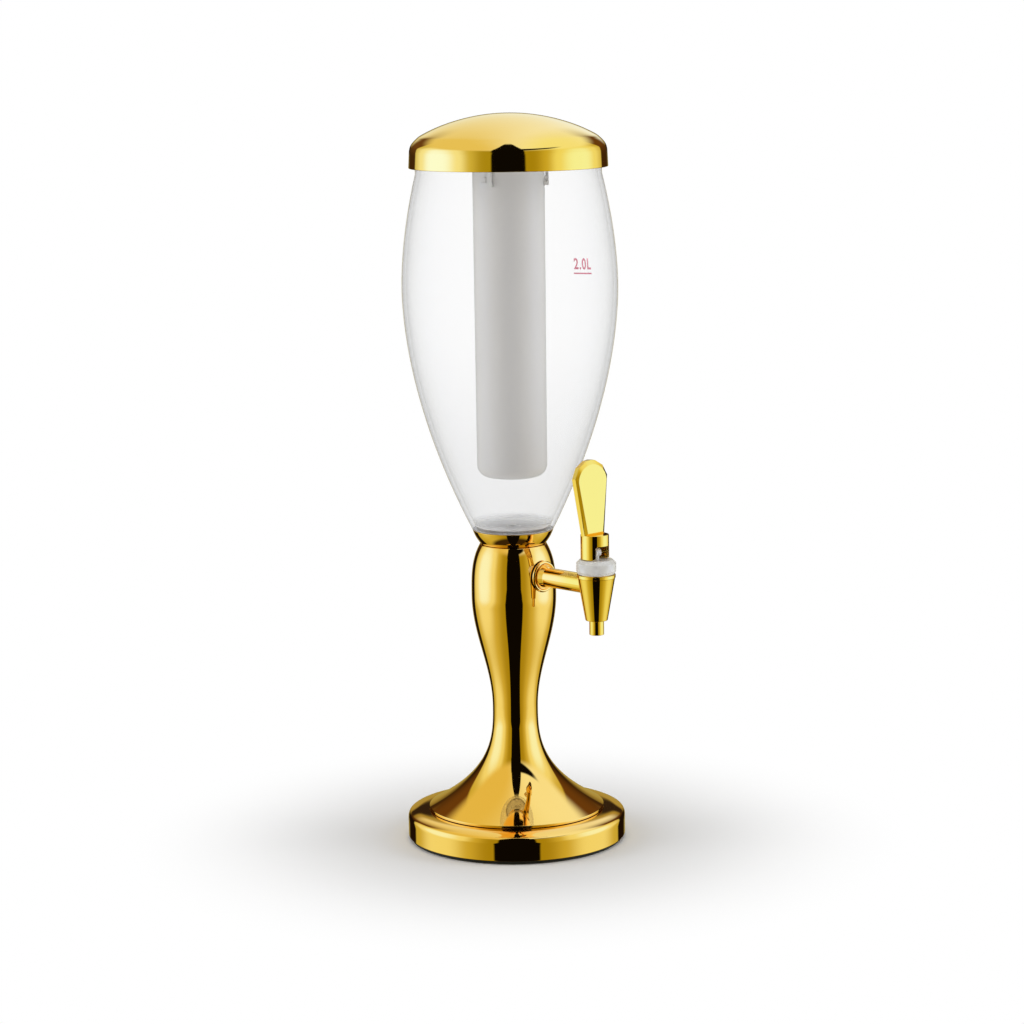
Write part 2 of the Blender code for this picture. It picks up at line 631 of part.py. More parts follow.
def build_container():
    high = [TANK_SHOULDER_Z - (TANK_SHOULDER_Z - TANK_BELLY_Z) * i / TANK_HIGH_STEPS
            for i in range(TANK_HIGH_STEPS)]
    low = [TANK_BELLY_Z - (TANK_BELLY_Z - TANK_FOOT_Z) * i / TANK_LOW_STEPS
           for i in range(TANK_LOW_STEPS + 1)]
    outer = [(TANK_MOUTH_R, TANK_MOUTH_Z)] + [(tank_radius(z), z) for z in high + low]
    inner = [(r, z) for r, z in inset(outer, TANK_WALL) if z > TANK_FLOOR_Z + TANK_FILLET + FIT]
    inner[0] = (TANK_MOUTH_BORE_R, TANK_MOUTH_Z)
    corner = inner[-1][0] - (inner[-1][1] - TANK_FLOOR_Z) / 2
    floor = [(SPIGOT_BORE_R, TANK_FLOOR_Z), (corner - TANK_FILLET, TANK_FLOOR_Z),
             (corner - TANK_FILLET * TANK_FILLET_SHARE, TANK_FLOOR_Z + TANK_FILLET * TANK_FILLET_SHARE)]
    recess = SPIGOT_R + GASKET_WIDTH + FIT * 2
    foot = [(cup_inside(CUP_RIM_Z, FIT), TANK_FOOT_Z), (cup_inside(GASKET_Z, FIT), GASKET_Z),
            (recess, GASKET_Z), (recess, SPIGOT_ROOT_Z), (SPIGOT_R, SPIGOT_ROOT_Z),
            (SPIGOT_R, SPIGOT_END_Z), (NIPPLE_R, SPIGOT_END_Z), (NIPPLE_R, NIPPLE_LOW_Z),
            (SPIGOT_BORE_R, NIPPLE_LOW_Z)]
    turned("container", floor + inner[::-1] + outer + foot, CLEAR, BIG_STEPS)


def build_lid():
    pivot = axis_point("lid_lift_axis", (0.0, 0.0, LID_RIM_Z))
    height = LID_TOP_Z - LID_RIM_Z
    outer = [(LID_R * across, LID_RIM_Z + height * up) for across, up in LID_SHARES]
    inner = inset(outer, LID_WALL)
    inner[0], inner[-1] = (0.0, LID_TOP_Z - LID_WALL), (LID_R - LID_WALL, LID_RIM_Z)
    shell = turned("lid_shell", outer + inner[::-1], GOLD, BIG_STEPS)

    plug_low = LINER_Z - PLUG_DEPTH
    liner = turned("lid_liner", [
        (0.0, LINER_TOP_Z), (LINER_FLANGE_R, LINER_TOP_Z), (LINER_FLANGE_R, LINER_Z), (PLUG_R, LINER_Z),
        (PLUG_R, plug_low), (PLUG_R - PLUG_WALL, plug_low), (PLUG_R - PLUG_WALL, LINER_Z), (0.0, LINER_Z)],
        WHITE, BIG_STEPS)
    draft = HOOK_DRAFT / HOOK_OUTER_R
    for i, (angle, _, _) in enumerate(on_ring(HOOKS, HOOK_INNER_R, HOOK_TURN)):
        join(liner, arc_block(f"hook_leg_{i + 1}", HOOK_INNER_R + HOOK_DRAFT, HOOK_OUTER_R - HOOK_DRAFT,
                              HOOK_FOOT_Z + HOOK_FOOT_H / 2, LINER_Z + SINK, angle, HOOK_LEG - draft))
        join(liner, arc_block(f"hook_foot_{i + 1}", HOOK_INNER_R, HOOK_OUTER_R, HOOK_FOOT_Z,
                              HOOK_FOOT_Z + HOOK_FOOT_H, angle - HOOK_FOOT, HOOK_FOOT + HOOK_LEG))
    seal = ring("lid_seal", PLUG_R + FIT, TANK_MOUTH_R, SEAL_Z, SEAL_Z + SEAL_THICK, SILICONE, BIG_STEPS)

    moving = [shell, liner, seal]
    boss_top = height_at(outer, LID_SCREW_RING_R + LID_BOSS_R) - FIT
    for i, (_, x, y) in enumerate(on_ring(LID_SCREWS, LID_SCREW_RING_R, LID_SCREW_TURN)):
        cut(shell, screw_boss(shell, f"lid_{i + 1}", x, y, LINER_TOP_Z + FIT, boss_top, LID_BOSS_R))
        hole = rod(f"hole_lid_{i + 1}", SCREW_R + PIN_FIT, LINER_THICK + OVERRUN * 2, steps=PILOT_STEPS)
        hole.location = (x, y, LINER_Z - OVERRUN)
        cut(liner, hole)
        moving.append(screw(f"lid_screw_{i + 1}", x, y, LINER_Z - FIT))
    hang(moving, pivot)
    return pivot


def build_ice_tube(lid_pivot):
    pivot = axis_point("ice_tube_twist_axis", (0.0, 0.0, LUG_Z))
    corner = ICE_FOOT_R - ICE_CORNER_R
    bend = [math.pi / 2 * i / CORNER_STEPS for i in range(CORNER_STEPS + 1)]
    outer = [(ICE_R, ICE_TOP_Z)]
    outer += [(corner + ICE_CORNER_R * math.cos(a), ICE_FOOT_Z + ICE_CORNER_R * (1 - math.sin(a)))
              for a in bend]
    outer.append((0.0, ICE_FOOT_Z))
    inner = inset(outer, ICE_WALL)
    inner[0] = (ICE_R - ICE_WALL, ICE_TOP_Z)
    tube = turned("ice_tube", inner[::-1] + outer, FROST)
    for i, (angle, _, _) in enumerate(on_ring(HOOKS, ICE_R, HOOK_TURN)):
        join(tube, arc_block(f"lug_{i + 1}", ICE_R - ICE_WALL / 2, HOOK_OUTER_R, LUG_Z, LUG_Z + LUG_H,
                             angle - LUG_GAP - LUG, LUG))
    hang([tube], pivot)
    hang([pivot], lid_pivot)


def build_outlet():
    elbow = rod("outlet_elbow", ELBOW_R, ELBOW_TOP_Z - ELBOW_LOW_Z, WHITE, TUBE_STEPS)
    elbow.location.z = ELBOW_LOW_Z
    stub = along_y(rod("elbow_stub", ELBOW_STUB_R, ELBOW_STUB_REACH, steps=TUBE_STEPS), (0.0, 0.0, ARM_Z))
    ledge = NIPPLE_LOW_Z - FACE_SEAL - FIT * 2
    socket = rod("elbow_socket", NIPPLE_R + PIN_FIT, ELBOW_TOP_Z - ledge + OVERRUN)
    socket.location.z = ledge
    bore = rod("elbow_bore", ELBOW_BORE_R, ledge - ELBOW_BORE_LOW_Z + OVERRUN)
    bore.location.z = ELBOW_BORE_LOW_Z
    side_ledge = SHANK_END - FACE_SEAL - FIT * 2
    side_socket = along_y(rod("elbow_side_socket", ARM_R + PIN_FIT, ELBOW_STUB_REACH - side_ledge + OVERRUN),
                          (0.0, -side_ledge, ARM_Z))
    side_bore = along_y(rod("elbow_side_bore", ARM_BORE_R, side_ledge + OVERRUN), (0.0, 0.0, ARM_Z))
    join(elbow, stub)
    for cutter in (socket, bore, side_socket, side_bore):
        cut(elbow, cutter)
    ring("nipple_seal", SPIGOT_BORE_R + PIN_FIT, NIPPLE_R, NIPPLE_LOW_Z - FIT - FACE_SEAL,
         NIPPLE_LOW_Z - FIT, SILICONE, SMALL_STEPS)
    along_y(ring("shank_seal", ARM_BORE_R + PIN_FIT, ARM_R, SHANK_END - FIT - FACE_SEAL, SHANK_END - FIT,
                 SILICONE, SMALL_STEPS), (0.0, 0.0, ARM_Z))


def build_tap_body():
    outside = [(0.0, NECK_TOP_Z), (NECK_R, NECK_TOP_Z), (NECK_R, BODY_TOP_Z), (BODY_TOP_R, BODY_TOP_Z),
               (BODY_TOP_R, BODY_TOP_Z - BODY_BAND_H),
               (BODY_TOP_R - BODY_BAND_STEP, BODY_TOP_Z - BODY_BAND_H), (BODY_LOW_R, BODY_LOW_Z),
               (NOZZLE_R, BODY_LOW_Z), (NOZZLE_R, NOZZLE_LOW_Z), (0.0, NOZZLE_LOW_Z)]
    body = turned("tap_body", outside, GOLD)
    body.location.y = -TAP_REACH
    root = BOSS_FACE + FIT + WASHER_THICK + FIT + ROSETTE_THICK - ROSETTE_DISH + FIT
    arm = along_y(turned("tap_arm", [
        (0.0, TAP_REACH), (ARM_R, TAP_REACH), (ARM_R, root + ARM_ROOT_LENGTH), (ARM_ROOT_R, root),
        (ARM_R, root), (ARM_R, SHANK_END), (0.0, SHANK_END)], steps=TUBE_STEPS), (0.0, 0.0, ARM_Z))
    hollow = turned("tap_chamber", [
        (0.0, NECK_TOP_Z + OVERRUN), (CHAMBER_R, NECK_TOP_Z + OVERRUN), (CHAMBER_R, SEAT_HIGH_Z),
        (NOZZLE_BORE_R, SEAT_LOW_Z), (NOZZLE_BORE_R, NOZZLE_LOW_Z - OVERRUN),
        (0.0, NOZZLE_LOW_Z - OVERRUN)], steps=MID_STEPS)
    hollow.location.y = -TAP_REACH
    bore = along_y(rod("tap_arm_bore", ARM_BORE_R, TAP_REACH - SHANK_END + OVERRUN),
                   (0.0, OVERRUN - SHANK_END, ARM_Z))
    cut(cut(join(body, arm), hollow), bore)

    hole = ARM_R + PIN_FIT
    washer = BOSS_FACE + FIT
    along_y(ring("rosette_washer", hole, WASHER_R, washer, washer + WASHER_THICK, RUBBER),
            (0.0, 0.0, ARM_Z))
    rosette = washer + WASHER_THICK + FIT
    face = rosette + ROSETTE_THICK
    along_y(turned("tap_rosette", [
        (hole, face - ROSETTE_DISH), (ARM_ROOT_R + FIT, face - ROSETTE_DISH),
        (ROSETTE_R - ROSETTE_EDGE * 2, face), (ROSETTE_R - ROSETTE_EDGE, face),
        (ROSETTE_R, face - ROSETTE_EDGE), (ROSETTE_R, rosette), (hole, rosette)], GOLD),
        (0.0, 0.0, ARM_Z))
    inner_washer = BOSS_BACK - FIT
    along_y(ring("shank_washer", hole, SHANK_WASHER_R, inner_washer - SHANK_WASHER_THICK, inner_washer,
                 RUBBER, SMALL_STEPS), (0.0, 0.0, ARM_Z))
    nut_face = inner_washer - SHANK_WASHER_THICK - FIT
    nut = along_y(rod("shank_nut", SHANK_NUT_R, SHANK_NUT_H, STEEL, 6), (0.0, SHANK_NUT_H - nut_face, ARM_Z))
    cut(nut, along_y(rod("bore_shank_nut", hole, SHANK_NUT_H + OVERRUN * 2),
                     (0.0, SHANK_NUT_H - nut_face + OVERRUN, ARM_Z)))


def build_valve():
    ledge = NECK_TOP_Z + FIT + CUP_SEAL_RIM + FIT
    roof = BONNET_TOP_Z - BONNET_ROOF
    hole = STEM_R + PIN_FIT
    low = BODY_TOP_Z + FIT
    bonnet = turned("tap_bonnet", [
        (hole, BONNET_TOP_Z), (BONNET_R - BONNET_CHAMFER, BONNET_TOP_Z),
        (BONNET_R, BONNET_TOP_Z - BONNET_CHAMFER), (BONNET_R, low + BONNET_TAPER * 2),
        (BONNET_R - BONNET_TAPER, low), (NECK_R + FIT, low),
        (NECK_R + FIT, ledge), (BONNET_CHAMBER_R, ledge), (BONNET_CHAMBER_R, roof), (hole, roof)], FROST)

    # the rubber seat cup hangs from its clamped rim, and its plug lies on the seat's cone
    rise = (SEAT_HIGH_Z - SEAT_LOW_Z) / (CHAMBER_R - NOZZLE_BORE_R)
    lift = FIT * math.hypot(1.0, rise)
    plug_low = SEAT_LOW_Z + rise * (CUP_SEAL_LOW_R - NOZZLE_BORE_R) + lift
    plug_wide = SEAT_LOW_Z + rise * (CUP_SEAL_WIDE_R - NOZZLE_BORE_R) + lift
    rim_low = NECK_TOP_Z + FIT
    rim_top = rim_low + CUP_SEAL_RIM
    skirt = CHAMBER_R - FIT
    floor = plug_low + CUP_SEAL_FLOOR
    socket = STEM_FOOT_R + FIT
    flange_seat = STEM_FLANGE_Z - FIT
    waist = CUP_SEAL_WIDE_R + CUP_SEAL_WALL / 2
    cup = turned("tap_seat_cup", [
        (0.0, floor), (socket, floor), (socket, flange_seat), (STEM_FLANGE_R + FIT, flange_seat),
        (skirt - CUP_SEAL_WALL, rim_low - CUP_SEAL_RIM), (skirt - CUP_SEAL_WALL, rim_top),
        (NECK_R, rim_top), (NECK_R, rim_low), (skirt, rim_low), (skirt, rim_low - CUP_SEAL_RIM),
        (waist, CUP_SEAL_SHOULDER_Z), (CUP_SEAL_WIDE_R, plug_wide), (CUP_SEAL_LOW_R, plug_low),
        (0.0, plug_low)], SILICONE)

    flange_top = STEM_FLANGE_Z + STEM_FLANGE_H
    stem = turned("tap_stem", [
        (0.0, PIN_Z), (STEM_R, PIN_Z), (STEM_R, flange_top), (STEM_FLANGE_R, flange_top),
        (STEM_FLANGE_R, STEM_FLANGE_Z), (STEM_FOOT_R, STEM_FLANGE_Z), (STEM_FOOT_R, floor + FIT),
        (0.0, floor + FIT)], WHITE, SMALL_STEPS)
    eye = along_x(rod("stem_eye", EYE_R, EYE_HALF * 2), (-EYE_HALF, -TAP_REACH, PIN_Z))
    pin_hole = along_x(rod("stem_pin_hole", PIN_R + PIN_FIT, EYE_HALF * 2 + OVERRUN * 2, steps=PIN_STEPS),
                       (-EYE_HALF - OVERRUN, -TAP_REACH, PIN_Z))
    pin = along_x(rod("tap_pin", PIN_R, PIN_HALF * 2, STEEL, PIN_STEPS), (-PIN_HALF, -TAP_REACH, PIN_Z))
    for obj in (bonnet, cup, stem):
        obj.location.y = -TAP_REACH
    cut(join(stem, eye), pin_hole)
    build_spring(flange_top + FIT + SPRING_WIRE_R, roof - FIT - SPRING_WIRE_R)
    return stem, pin


def build_spring(low, high):
    count = SPRING_TURNS * SPRING_POINTS
    points = []
    for i in range(count + 1):
        angle = FULL_TURN * i / SPRING_POINTS
        points.append((SPRING_R * math.cos(angle), SPRING_R * math.sin(angle),
                       low + (high - low) * i / count))
    curve = bpy.data.curves.new("tap_spring", "CURVE")
    curve.dimensions = "3D"
    curve.bevel_depth = SPRING_WIRE_R
    curve.bevel_resolution = 1
    curve.use_fill_caps = True
    curve.render_resolution_u = 0
    spline = curve.splines.new("POLY")
    spline.points.add(count)
    for point, place in zip(spline.points, points):
        point.co = (*place, 1.0)
    coil = bpy.data.objects.new("spring_wire", curve)
    CUTTERS.objects.link(coil)
    coil.location.y = -TAP_REACH
    meshed(coil, "tap_spring", STEEL)
    gap = min((Vector(points[i]) - Vector(points[j])).length
              for i in range(count + 1) for j in range(i + SPRING_POINTS // 2, count + 1))
    print(f"least gap between the spring's turns: {(gap - SPRING_WIRE_R * 2) / MM:.2f} mm")


def cam_outline():
    """Front lower edge of the handle's foot. Its distance below the pin grows evenly with the tilt, so
    the stem rises CAM_RISE for each radian. The pin is at the origin, and the front is at negative x."""
    points = []
    for i in range(CAM_STEPS + 1):
        tilt = CAM_TILT * i / CAM_STEPS
        reach = PIN_RISE + CAM_RISE * tilt
        points.append((-reach * math.sin(tilt) - CAM_RISE * math.cos(tilt),
                       -reach * math.cos(tilt) + CAM_RISE * math.sin(tilt)))
    low = -PIN_RISE - OVERRUN
    return points + [(points[-1][0], low), (points[0][0], low)]


def build_handle(stem, pin):
    lift = axis_point("stem_lift_axis", (0.0, -TAP_REACH, 0.0))
    pivot = axis_point("handle_tilt_axis", (0.0, -TAP_REACH, PIN_Z))
    foot_z = PIN_Z - PIN_RISE
    handle = rod("tap_handle", FOOT_R, FOOT_H, GOLD, MID_STEPS)
    handle.location = (0.0, FOOT_BACK - TAP_REACH, foot_z)

    half, rise = PADDLE_HALF, PADDLE_H + PADDLE_ROOT
    right = [(half * across, rise * up) for across, up in PADDLE_SHARES]
    left = [(-x, z) for x, z in reversed(right[:-1])]
    paddle = plate("paddle", right + left, PADDLE_THICK)
    paddle.rotation_euler = (math.pi / 2 - PADDLE_LEAN, 0.0, 0.0)
    paddle.location = (0.0, PADDLE_BACK - TAP_REACH, foot_z + FOOT_H - PADDLE_ROOT)
    bevel = paddle.modifiers.new("edge", "BEVEL")
    bevel.width = PADDLE_BEVEL
    bevel.segments = 1
    bevel.limit_method = "ANGLE"
    bevel.angle_limit = math.radians(60.0)

    slot = block("handle_slot", (-SLOT_HALF, -TAP_REACH - FOOT_R - OVERRUN, foot_z - OVERRUN),
                 (SLOT_HALF, SLOT_BACK - TAP_REACH, foot_z + SLOT_H))
    cam = plate("handle_cam", cam_outline(), (FOOT_R + OVERRUN) * 2)
    cam.rotation_euler = (math.pi / 2, 0.0, math.pi / 2)
    cam.location = (0.0, -TAP_REACH, PIN_Z)
    sockets = along_x(rod("handle_pin_sockets", PIN_R + PIN_FIT, (PIN_HALF + FIT) * 2, steps=PIN_STEPS),
                      (-PIN_HALF - FIT, -TAP_REACH, PIN_Z))
    join(handle, paddle)
    for cutter in (slot, cam, sockets):
        cut(handle, cutter)
    hang([handle], pivot)
    hang([stem, pin, pivot], lift)


def finish_meshes():
    """Bake each part's modifiers, then shade its round faces smooth and keep its edges sharp."""
    bpy.context.view_layer.update()
    depsgraph = bpy.context.evaluated_depsgraph_get()
    baked = {obj: bpy.data.meshes.new_from_object(obj.evaluated_get(depsgraph)) for obj in PARTS.objects
             if obj.type == "MESH"}
    for obj, mesh in baked.items():
        obj.modifiers.clear()
        obj.data = mesh
        mesh.name = obj.name
        mesh.shade_smooth()
        mesh.set_sharp_from_angle(angle=SHARP)


def main():
    build_foot()
    build_column()
    build_collar()
    build_container()
    build_ice_tube(build_lid())
    build_outlet()
    build_tap_body()
    build_handle(*build_valve())
    finish_meshes()


if __name__ == "__main__":
    main()
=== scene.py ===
"""Looks of the beer tower dispenser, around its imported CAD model.

Metres, +Z up, in the row frame: the origin is the centre of the foot's underside, and the tap points
along -Y. Round pieces are turned from the profiles below by one Geometry Nodes tree.
"""

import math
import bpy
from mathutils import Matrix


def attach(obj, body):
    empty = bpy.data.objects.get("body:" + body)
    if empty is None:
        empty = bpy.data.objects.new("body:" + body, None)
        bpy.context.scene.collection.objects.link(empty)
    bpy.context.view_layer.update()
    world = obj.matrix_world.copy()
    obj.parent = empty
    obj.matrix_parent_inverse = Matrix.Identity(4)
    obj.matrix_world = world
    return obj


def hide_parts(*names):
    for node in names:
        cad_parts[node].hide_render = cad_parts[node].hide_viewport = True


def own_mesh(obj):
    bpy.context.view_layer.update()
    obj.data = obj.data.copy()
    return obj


bl_info = {
    "name": "Beer tower dispenser",
    "version": (1, 0, 0),
    "blender": (4, 5, 0),
    "location": "3D View > Sidebar > Tower",
    "description": "Builds the finished pieces of a gold and clear drink tower around its CAD frame",
    "category": "Object",
}

import bmesh
import bpy
from bpy.props import FloatProperty, FloatVectorProperty, IntProperty, PointerProperty
from mathutils import Matrix, Vector

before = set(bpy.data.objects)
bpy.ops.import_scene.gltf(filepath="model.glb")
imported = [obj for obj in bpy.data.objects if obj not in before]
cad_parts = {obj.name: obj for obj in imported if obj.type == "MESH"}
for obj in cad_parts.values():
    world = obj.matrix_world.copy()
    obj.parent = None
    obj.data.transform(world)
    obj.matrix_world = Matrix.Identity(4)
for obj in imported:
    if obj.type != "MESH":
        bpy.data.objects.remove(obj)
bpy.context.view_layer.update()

MM = 0.001
FULL_TURN = 2.0 * math.pi

# heights and radii that the pieces share with the CAD source
SHELL_LOW_Z = 2.3 * MM
BASE_R, BASE_TOP_Z, BASE_WALL, BASE_HOLE_R = 68.6 * MM, 19.1 * MM, 2.5 * MM, 12.0 * MM
FLARE_LOW_Z, FLARE_TOP_Z, FLARE_R, FLARE_LAND = 19.4 * MM, 20.9 * MM, 55.1 * MM, 5.0 * MM
WAIST_R, WAIST_Z, BELLY_R, BELLY_Z = 14.2 * MM, 84.0 * MM, 26.5 * MM, 156.0 * MM
COLUMN_TOP_R, COLUMN_TOP_Z, COLUMN_WALL = 20.8 * MM, 188.4 * MM, 2.5 * MM
SPIGOT_HOLE_R, SHELF_LOW_Z = 10.0 * MM, 186.0 * MM
CUP_LOW_Z, CUP_RIM_Z, CUP_FLOOR_Z = 188.7 * MM, 197.5 * MM, 190.6 * MM
CUP_NECK_R, CUP_RIM_R, CUP_WALL, CUP_BULGE = 20.4 * MM, 25.3 * MM, 1.9 * MM, 0.5 * MM
TANK_FOOT_Z, TANK_FLOOR_Z, TANK_FOOT_R = 197.8 * MM, 199.3 * MM, 25.4 * MM
TANK_BELLY_R, TANK_BELLY_Z, TANK_WALL = 66.7 * MM, 349.0 * MM, 2.6 * MM
TANK_SHOULDER_R, TANK_SHOULDER_Z = 57.3 * MM, 418.0 * MM
TANK_MOUTH_R, TANK_MOUTH_Z = 57.0 * MM, 429.6 * MM
SPIGOT_R, SPIGOT_BORE_R, SPIGOT_END_Z, SPIGOT_ROOT_Z = 9.7 * MM, 4.2 * MM, 178.0 * MM, 192.7 * MM
NIPPLE_R, NIPPLE_LOW_Z, GASKET_Z, GASKET_OUTER_R = 6.0 * MM, 173.0 * MM, 190.9 * MM, 14.0 * MM
LID_R, LID_RIM_Z, LID_TOP_Z, LID_WALL = 61.2 * MM, 422.0 * MM, 455.0 * MM, 1.8 * MM
LINER_Z, LINER_TOP_Z, LINER_R = 431.4 * MM, 433.4 * MM, 57.9 * MM
PLUG_R, PLUG_WALL, PLUG_LOW_Z = 54.1 * MM, 2.0 * MM, 422.2 * MM
HOOK_INNER_R, HOOK_OUTER_R, HOOK_FOOT_Z, HOOK_FOOT_H = 22.5 * MM, 24.7 * MM, 411.0 * MM, 2.7 * MM
HOOKS, HOOK_TURN, HOOK_LEG, HOOK_FOOT = 3, math.radians(192.0), math.radians(8.0), math.radians(13.0)
ICE_R, ICE_FOOT_R, ICE_WALL = 22.2 * MM, 21.8 * MM, 2.0 * MM
ICE_FOOT_Z, ICE_TOP_Z, ICE_CORNER_R = 230.7 * MM, 428.6 * MM, 7.5 * MM
LUG_Z, LUG_H, LUG, LUG_GAP = 414.0 * MM, 2.6 * MM, math.radians(7.0), math.radians(1.5)
TAP_REACH, ARM_Z, ARM_R, ARM_BORE_R = 71.1 * MM, 170.3 * MM, 6.0 * MM, 3.2 * MM
ARM_ROOT_R, ARM_ROOT_LENGTH, ARM_HOLE_R = 7.3 * MM, 4.0 * MM, 6.2 * MM
BOSS_FACE, BOSS_BACK, BOSS_R, SHANK_END = 24.6 * MM, 20.6 * MM, 9.9 * MM, 10.9 * MM
WASHER_FACE, WASHER_R, WASHER_THICK = 24.9 * MM, 9.2 * MM, 0.7 * MM
ROSETTE_BACK, ROSETTE_R, ROSETTE_THICK, ROSETTE_DISH = 25.9 * MM, 9.7 * MM, 1.6 * MM, 0.8 * MM
BODY_TOP_Z, BONNET_TOP_Z, NECK_TOP_Z, PIN_Z = 177.5 * MM, 186.6 * MM, 181.0 * MM, 190.9 * MM
NECK_R, CONE_TOP_R, CONE_BAND_H, CONE_BAND_STEP = 10.2 * MM, 11.85 * MM, 2.0 * MM, 0.3 * MM
CONE_LOW_R, CONE_LOW_Z, NOZZLE_R, NOZZLE_LOW_Z = 6.8 * MM, 148.9 * MM, 4.5 * MM, 139.9 * MM
CHAMBER_R, CHAMBER_LOW_Z, NOZZLE_BORE_R, SEAT_Z = 8.2 * MM, 163.0 * MM, 3.2 * MM, 157.6 * MM
BONNET_R, BONNET_TOP_R, BONNET_HOLE_R, BONNET_LOW_Z = 12.2 * MM, 10.1 * MM, 2.1 * MM, 177.8 * MM
BONNET_BORE_R, BONNET_CEILING_Z, SPRING_SEAT_R, SPRING_SEAT_Z = 10.5 * MM, 182.7 * MM, 7.3 * MM, 184.7 * MM
STEM_R, STEM_TIP_R, STEM_LOW_Z, STEM_FLANGE_R = 1.9 * MM, 2.1 * MM, 160.4 * MM, 5.0 * MM
STEM_FLANGE_Z, STEM_FLANGE_TOP_Z, EYE_R, EYE_HALF, PIN_R = 167.0 * MM, 168.5 * MM, 2.7 * MM, 2.2 * MM, 1.1 * MM
PIN_HALF, PIN_HOLE_R, SPRING_LOW_Z, SPRING_TOP_Z = 7.0 * MM, 1.3 * MM, 168.8 * MM, 184.4 * MM
SPRING_R, SPRING_WIRE_R, PAD_R, PAD_TOP_Z = 4.0 * MM, 0.4 * MM, 66.8 * MM, 2.0 * MM
GASKET_INNER_R, GASKET_H = 10.0 * MM, 1.5 * MM
LID_SEAL_INNER_R, LID_SEAL_R, LID_SEAL_Z, LID_SEAL_TOP_Z = 54.4 * MM, 57.0 * MM, 429.9 * MM, 431.1 * MM
COVER_SCREW_RING, COVER_SCREW_Z, COLUMN_SCREW_RING = 58.0 * MM, 4.0 * MM, 39.0 * MM
COLUMN_SCREW_Z, LID_SCREW_RING, LID_SCREW_Z = 16.3 * MM, 34.0 * MM, 431.1 * MM
LID_SCREW_TURN = math.radians(30.0)


# settings
class TowerSizes(bpy.types.PropertyGroup):
    turn_steps: IntProperty(name="Turn steps", description="Facets round the big turned pieces",
                            default=144, min=24, max=512)
    small_steps: IntProperty(name="Small turn steps", description="Facets round the tap's pieces",
                             default=72, min=16, max=256)
    edge: FloatProperty(name="Edge rounding", description="Radius of the moulded edges",
                        default=0.35 * MM, min=0.0, unit="LENGTH")
    mark_height: FloatProperty(name="Mark height", description="Height of the volume mark's figures",
                               default=6.4 * MM, min=0.001, unit="LENGTH")
    spring_turns: IntProperty(name="Spring turns", description="Turns of the tap's spring", default=6, min=3)


class TowerFinish(bpy.types.PropertyGroup):
    gold: FloatVectorProperty(name="Gold", description="Tint of the gold plating", subtype="COLOR",
                              default=(1.0, 0.70, 0.26), min=0.0, max=1.0)
    # Painted shade: the next three tints darken the gold on the column, the tap and the foot.
    column_shaded_gold: FloatVectorProperty(name="Column gold", description="Tint of the plating on the column",
                                     subtype="COLOR", default=(1.0, 0.63, 0.19), min=0.0, max=1.0)
    tap_shaded_gold: FloatVectorProperty(name="Tap gold", description="Tint of the plating on the tap",
                                  subtype="COLOR", default=(0.95, 0.62, 0.12), min=0.0, max=1.0)
    foot_shaded_gold: FloatVectorProperty(name="Foot gold", description="Tint of the plating on the foot",
                                   subtype="COLOR", default=(0.98, 0.61, 0.16), min=0.0, max=1.0)
    gold_roughness: FloatProperty(name="Gold roughness", description="Blur of the plating's reflections",
                                  default=0.035, min=0.0, max=1.0, subtype="FACTOR")
    clear: FloatVectorProperty(name="Clear plastic", description="Tint of the container's wall",
                               subtype="COLOR", default=(0.62, 0.63, 0.65), min=0.0, max=1.0)
    frost: FloatVectorProperty(name="Frosted plastic", description="Colour of the ice tube",
                               subtype="COLOR", default=(0.83, 0.81, 0.79), min=0.0, max=1.0)
    mark: FloatVectorProperty(name="Volume mark", description="Ink of the volume mark", subtype="COLOR",
                              default=(0.55, 0.10, 0.16), min=0.0, max=1.0)


class TowerStage(bpy.types.PropertyGroup):
    side_light: FloatProperty(name="Side lamps", description="Power of each side softbox", default=9.0,
                              min=0.0, unit="POWER")
    top_light: FloatProperty(name="Top lamp", description="Power of the overhead softbox", default=9.0,
                             min=0.0, unit="POWER")
    fill: FloatProperty(name="Fill", description="Strength of the white surroundings", default=0.42, min=0.0)
    lens: FloatProperty(name="Lens", description="Focal length of the camera in millimetres", default=104.085)


# shader maths
class Value:
    """A socket that takes part in Python sums. Each operator adds its Math node."""

    def __init__(self, graph, socket):
        self.graph, self.socket = graph, socket

    def math(self, operation, *others, clamp=False):
        numbers = {i: other for i, other in enumerate((self, *others))}
        return self.graph.add("ShaderNodeMath", {"operation": operation, "use_clamp": clamp}, numbers)

    def __add__(self, other):
        return self.math("ADD", other)

    def __radd__(self, other):
        return self.math("ADD", other)

    def __sub__(self, other):
        return self.math("SUBTRACT", other)

    def __rsub__(self, other):
        return self.graph.add("ShaderNodeMath", {"operation": "SUBTRACT"}, {0: other, 1: self})

    def __mul__(self, other):
        return self.math("MULTIPLY", other)

    def __rmul__(self, other):
        return self.math("MULTIPLY", other)

    def __truediv__(self, other):
        return self.math("DIVIDE", other)

    def __pow__(self, other):
        return self.math("POWER", other)

    def clamped(self):
        return self.math("ADD", 0.0, clamp=True)


